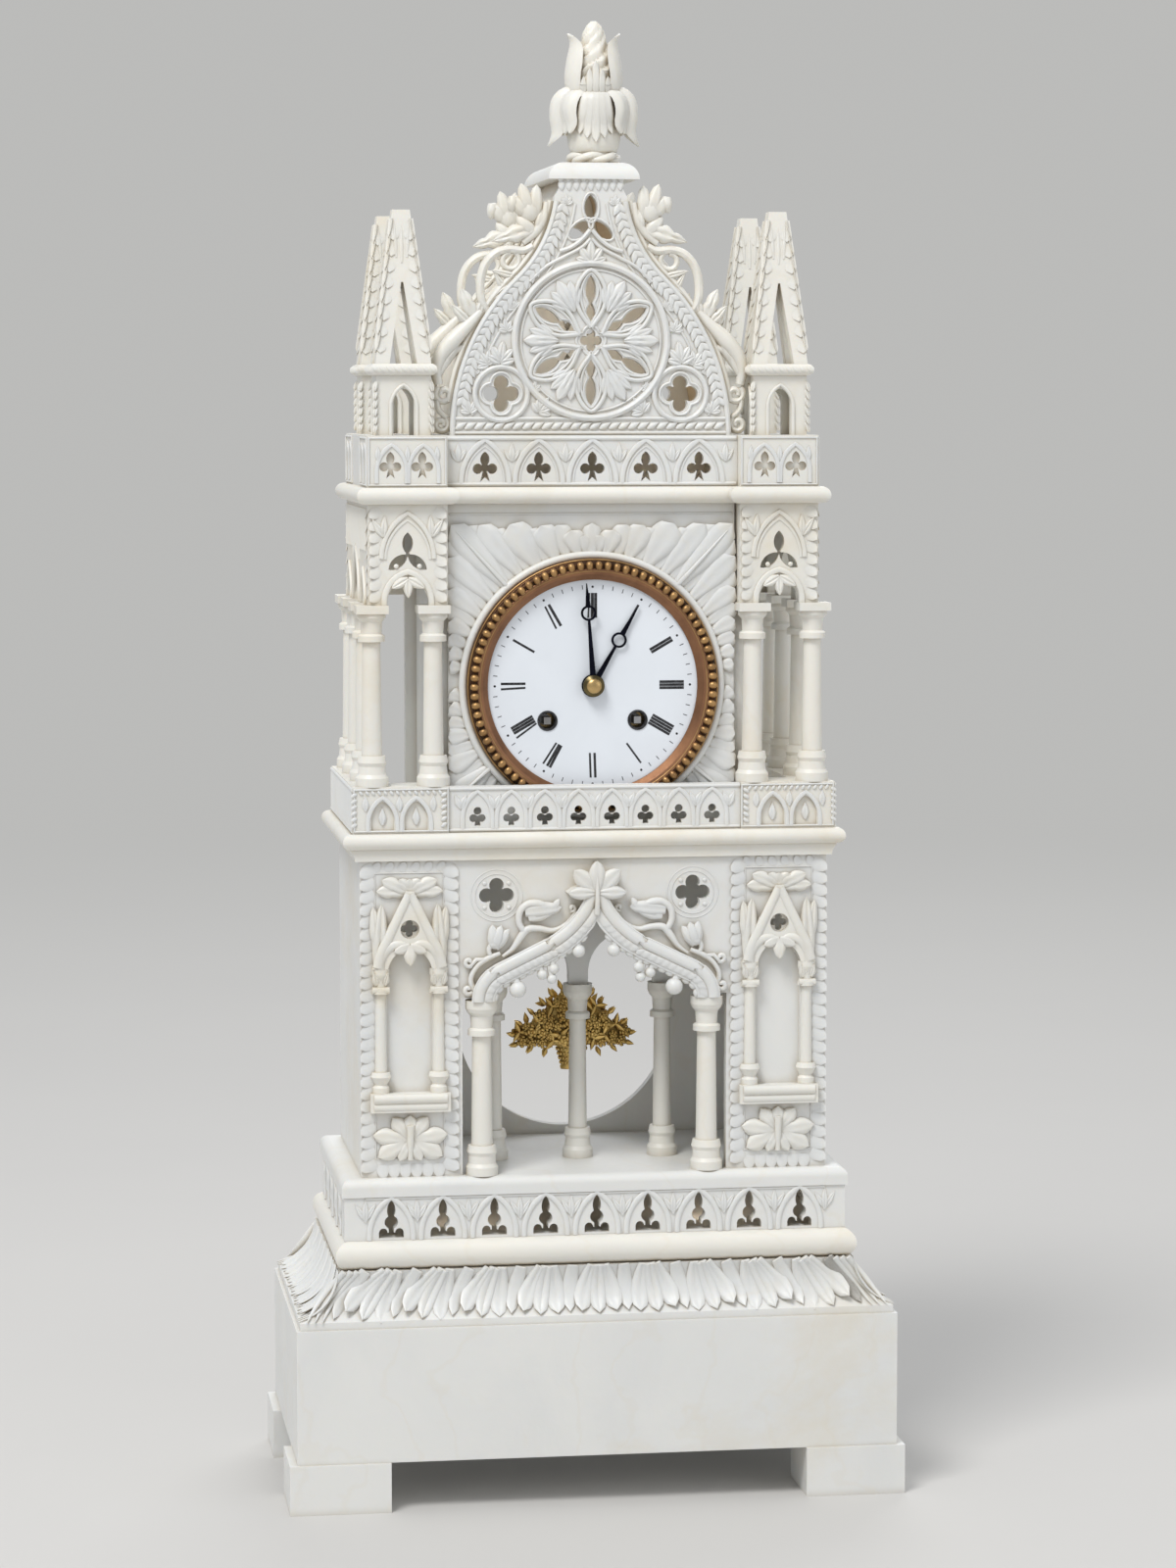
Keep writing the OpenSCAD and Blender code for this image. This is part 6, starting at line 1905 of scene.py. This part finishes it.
@dataclass
class PendulumBob(SubAssembly):
    """Gilt basket with a mound of roses and leaves.

    Attributes:
        middle: Place of the basket's middle on the clock's axis, deep and high.
        squeeze: Depth of the basket as a share of its width.
    """

    middle: Flat = (20.0, 182.0)
    squeeze: float = 0.6

    @staticmethod
    def shakes(state: int) -> Iterator[float]:
        """Give small offsets from -0.5 to 0.5 without end, the same ones in every run.

        Args:
            state: Where the row of numbers starts.

        Yields:
            The next offset.
        """
        while True:
            state = (state * 1103515245 + 12345) % 2 ** 31
            yield state / 2 ** 31 - 0.5

    @staticmethod
    def rose() -> Block:
        """Open rose: a heart in two rings of petals.

        Returns:
            The rose, its heart at the origin.
        """
        carving = Carving("rose")
        petal = Bench.bead((0.95, 0.75, 0.5), 8, 5)
        for count, radius, out in ((6, 1.75, 0.1), (4, 0.9, 0.7)):
            carving.add(petal, *(at(0, 0, 0, 360 * i / count + radius * 20) @ at(0, radius, out)
                                 for i in range(count)))
        carving.add(Bench.bead((0.6, 0.6, 0.6), 8, 5), at(0, 0, 1.1))
        return Block(np.concatenate(carving.verts), tuple(carving.faces))

    def mound(self) -> list[Point]:
        """Places of the flowers on the mound, in slightly shaken rows.

        Returns:
            Each place as x, y and its shake.
        """
        shakes = self.shakes(7)
        spots = []
        for up, half in ((-6.5, 23.0), (-3.0, 24.5), (0.5, 20.5), (4.0, 15.5), (7.5, 11.5), (11.0, 8.0),
                         (14.5, 5.0)):
            count = max(2, round(half * 2 / 4.3))
            for i in range(count):
                shake = next(shakes)
                spots.append((-half + 2 * half * (i + 0.5) / count + shake * 1.4, up + shake * 2.2, shake))
        return spots

    def flowers(self) -> None:
        """Lay the roses and leaves of one face, with a fringe of leaves."""
        rose = self.rose()
        leaf = Leaf(5.6, 2.8, 0.9, curl=0.8, rows=5, half=2).cut()
        for i, (x, y, shake) in enumerate(self.mound()):
            bulge = 4.2 * (1 - (x / 30) ** 2)
            if i % 4 == 3:
                self.lay(leaf, *(at(x, y, bulge, turn + shake * 90, 0.9) for turn in (0, 120, 240)))
            else:
                self.lay(rose, at(x, y, bulge, shake * 180, 1.05 + shake * 0.5))
        for x, y, turn in ((24, -4, -78), (23, -7.5, -104), (21, 0, -58), (16, 4.5, -48), (11.5, 8.5, -36),
                           (8, 12, -28), (4.5, 15, -14), (0, 15.5, 0), (17, -8.5, -140), (11, -9.5, -160)):
            self.both(leaf, at(x * 0.97, y, 1.4, turn, 0.72))

    def basket(self) -> None:
        """Lay the body under the flowers and the woven basket."""
        heap = [(0.4, -8.5), (8.0, -8.6), (19.0, -7.0), (22.0, -3.5), (16.0, 2.5), (9.0, 9.0), (3.0, 15.5),
                (0.3, 16.4)]
        bowl = [(0.4, -18.4), (4.6, -18.4), (4.9, -17.2), (4.3, -16.4), (5.0, -13.0), (6.2, -9.0),
                (7.0, -8.2), (7.0, -7.2), (0.4, -7.0)]
        self.lay(Bench.turned(heap, 32), Matrix.Diagonal((1.0, 0.13, 1.0, 1.0)))
        self.lay(Bench.turned(bowl, 28), Matrix.Diagonal((1.0, self.squeeze, 1.0, 1.0)))
        weave = Bench.bead((0.55, 0.5, 0.85), 6, 4)
        count = 20
        for course in range(4):
            radius = 4.7 + course * 0.52
            for turn in (2 * math.pi * (k + course * 0.5) / count for k in range(count)):
                x, y = radius * math.cos(turn), radius * self.squeeze * math.sin(turn)
                self.lay(weave, at(x, y, -15.6 + course * 1.9))

    def build(self) -> None:
        """Cut the bob, the same on both faces."""
        deep, high = self.middle
        self.start("flower_basket", at(0, 0))
        for side, out in ((Side.FRONT, -deep), (Side.BACK, deep)):
            self.bed = face(side, out, 0.0, high)
            self.flowers()
        self.bed = at(0, deep, high)
        self.basket()
        self.carving.piece("pendulum", Slot.GILT, self.finish.gilt, "pendulum_bob", crease=60)


# Studio


@dataclass(frozen=True)
class Lamp:
    """Soft square lamp.

    Attributes:
        name: Name of the lamp.
        place: Where it stands, in metres.
        size: Length of its side.
        power: Its power in watts.
        colour: Its colour.
        aim: The point it looks at.
    """

    name: str
    place: Point
    size: float
    power: float
    colour: Point = (1.0, 1.0, 1.0)
    aim: Point = (0.0, 0.0, 0.36)

    def hang(self) -> None:
        """Add the lamp, unseen by the camera."""
        data = bpy.data.lights.new(self.name, "AREA")
        data.size = self.size
        data.energy = self.power
        data.color = self.colour
        lamp = bpy.data.objects.new(self.name, data)
        lamp.visible_camera = False
        lamp.location = self.place
        lamp.rotation_euler = (Vector(self.aim) - Vector(self.place)).to_track_quat("-Z", "Y").to_euler()
        bpy.context.scene.collection.objects.link(lamp)


@dataclass
class Studio:
    """Plain pale floor, soft light and the camera at the photograph's place.

    Attributes:
        place: Where the camera stands, in metres.
        pitch: How far it looks up from straight down, in degrees.
        yaw: How far it is turned from looking along the clock's axis.
        lens: Its focal length in millimetres, on a film 36 mm wide.
        backdrop: Colour of the background.
    """

    place: Point = (-0.24284, -1.68245, 0.44534)
    pitch: float = 84.6
    yaw: float = -8.35
    lens: float = 127.5
    backdrop: Point = (0.50, 0.50, 0.49)

    def camera(self) -> None:
        """Set the camera."""
        data = bpy.data.cameras.new("camera")
        data.sensor_fit = "HORIZONTAL"
        data.sensor_width = 36.0
        data.lens = self.lens
        data.clip_start = 0.02
        camera = bpy.data.objects.new("camera", data)
        camera.location = self.place
        camera.rotation_euler = (math.radians(self.pitch), 0.0, math.radians(self.yaw))
        bpy.context.scene.collection.objects.link(camera)
        bpy.context.scene.camera = camera

    def floor(self) -> None:
        """Add the floor, a wide disc that fades into the background far from the clock."""
        Bench.clear()
        bpy.ops.mesh.primitive_circle_add(vertices=64, radius=30.0, fill_type="NGON")
        floor = bpy.context.object
        floor.name = "floor"
        recipe = Recipe("floor_paper")
        tone = recipe.mix(recipe.noise(3.0), (0.60, 0.59, 0.575), (0.64, 0.63, 0.61))
        recipe.shade(Base_Color=tone, Roughness=0.85)
        far = recipe.node("ShaderNodeVectorMath", Vector=recipe.coords)
        far.operation = "LENGTH"
        seen = recipe.node("ShaderNodeLightPath").outputs["Is Camera Ray"]
        fade = recipe.times(recipe.band(far.outputs["Value"], 0.5, 2.6), seen)
        glow = recipe.node("ShaderNodeEmission", Color=(*self.backdrop, 1.0))
        blend = recipe.tree.nodes.new("ShaderNodeMixShader")
        for socket, value in zip(blend.inputs, (fade, recipe.shader.outputs[0], glow.outputs[0])):
            recipe.feed(socket, value)
        recipe.feed(recipe.tree.nodes["Material Output"].inputs["Surface"], blend.outputs[0])
        floor.data.materials.append(recipe.material)

    def world(self) -> None:
        """Light softly from all round, with a plain pale background to the camera."""
        world = bpy.data.worlds.new("studio")
        world.use_nodes = True
        tree = world.node_tree
        sky = tree.nodes["Background"]
        sky.inputs["Color"].default_value = (0.95, 0.97, 1.0, 1.0)
        sky.inputs["Strength"].default_value = 0.58
        seen = tree.nodes.new("ShaderNodeBackground")
        seen.inputs["Color"].default_value = (*self.backdrop, 1.0)
        path = tree.nodes.new("ShaderNodeLightPath")
        blend = tree.nodes.new("ShaderNodeMixShader")
        sources = (path.outputs["Is Camera Ray"], sky.outputs[0], seen.outputs[0])
        for socket, value in zip(blend.inputs, sources):
            tree.links.new(value, socket)
        tree.links.new(blend.outputs[0], tree.nodes["World Output"].inputs["Surface"])
        bpy.context.scene.world = world

    def light(self) -> None:
        """Hang the studio's three lamps, and small warm ones behind the piercings and under the roof."""
        parapet_z, frieze_z, roof_z = 0.414, 0.117, 0.47
        lamps = [Lamp("key", (-1.0, -1.3, 2.5), 0.9, 47.0, (1.0, 0.99, 0.975)),
                 Lamp("fill", (1.8, -1.6, 1.0), 1.6, 5.0),
                 Lamp("back", (0.6, 2.0, 1.8), 1.4, 14.0)]
        for x in (-0.05, 0.05):
            lamps += [Lamp("parapet_glow", (x, -0.02, parapet_z), 0.014, 0.0022, (1.0, 0.82, 0.62),
                           (x, 0.03, parapet_z)),
                      Lamp("frieze_glow", (x, -0.03, frieze_z), 0.014, 0.0022, (1.0, 0.84, 0.68),
                           (x, 0.03, frieze_z))]
        lamps.append(Lamp("roof_glow", (0.0, -0.026, roof_z), 0.05, 0.012, (1.0, 0.93, 0.82),
                          (0.0, 0.03, roof_z)))
        for lamp in lamps:
            lamp.hang()

    def build(self) -> None:
        """Set the whole studio."""
        self.camera()
        self.floor()
        self.world()
        self.light()
        bpy.context.scene.view_settings.view_transform = "Standard"


def main() -> None:
    """Build the clock's looks and the studio."""
    logging.basicConfig(level=logging.INFO, format="%(message)s")
    finish = Finishes()
    finish.dress_frame()
    for maker in (BaseCarving, Portal, FacadePanels, Balustrades, DialPanel, Turrets, Pinnacles, Gable,
                  CrestFoliage, Finial, Dial, PendulumBob):
        maker(finish).build()
    Studio().build()


if __name__ == "__main__":
    main()
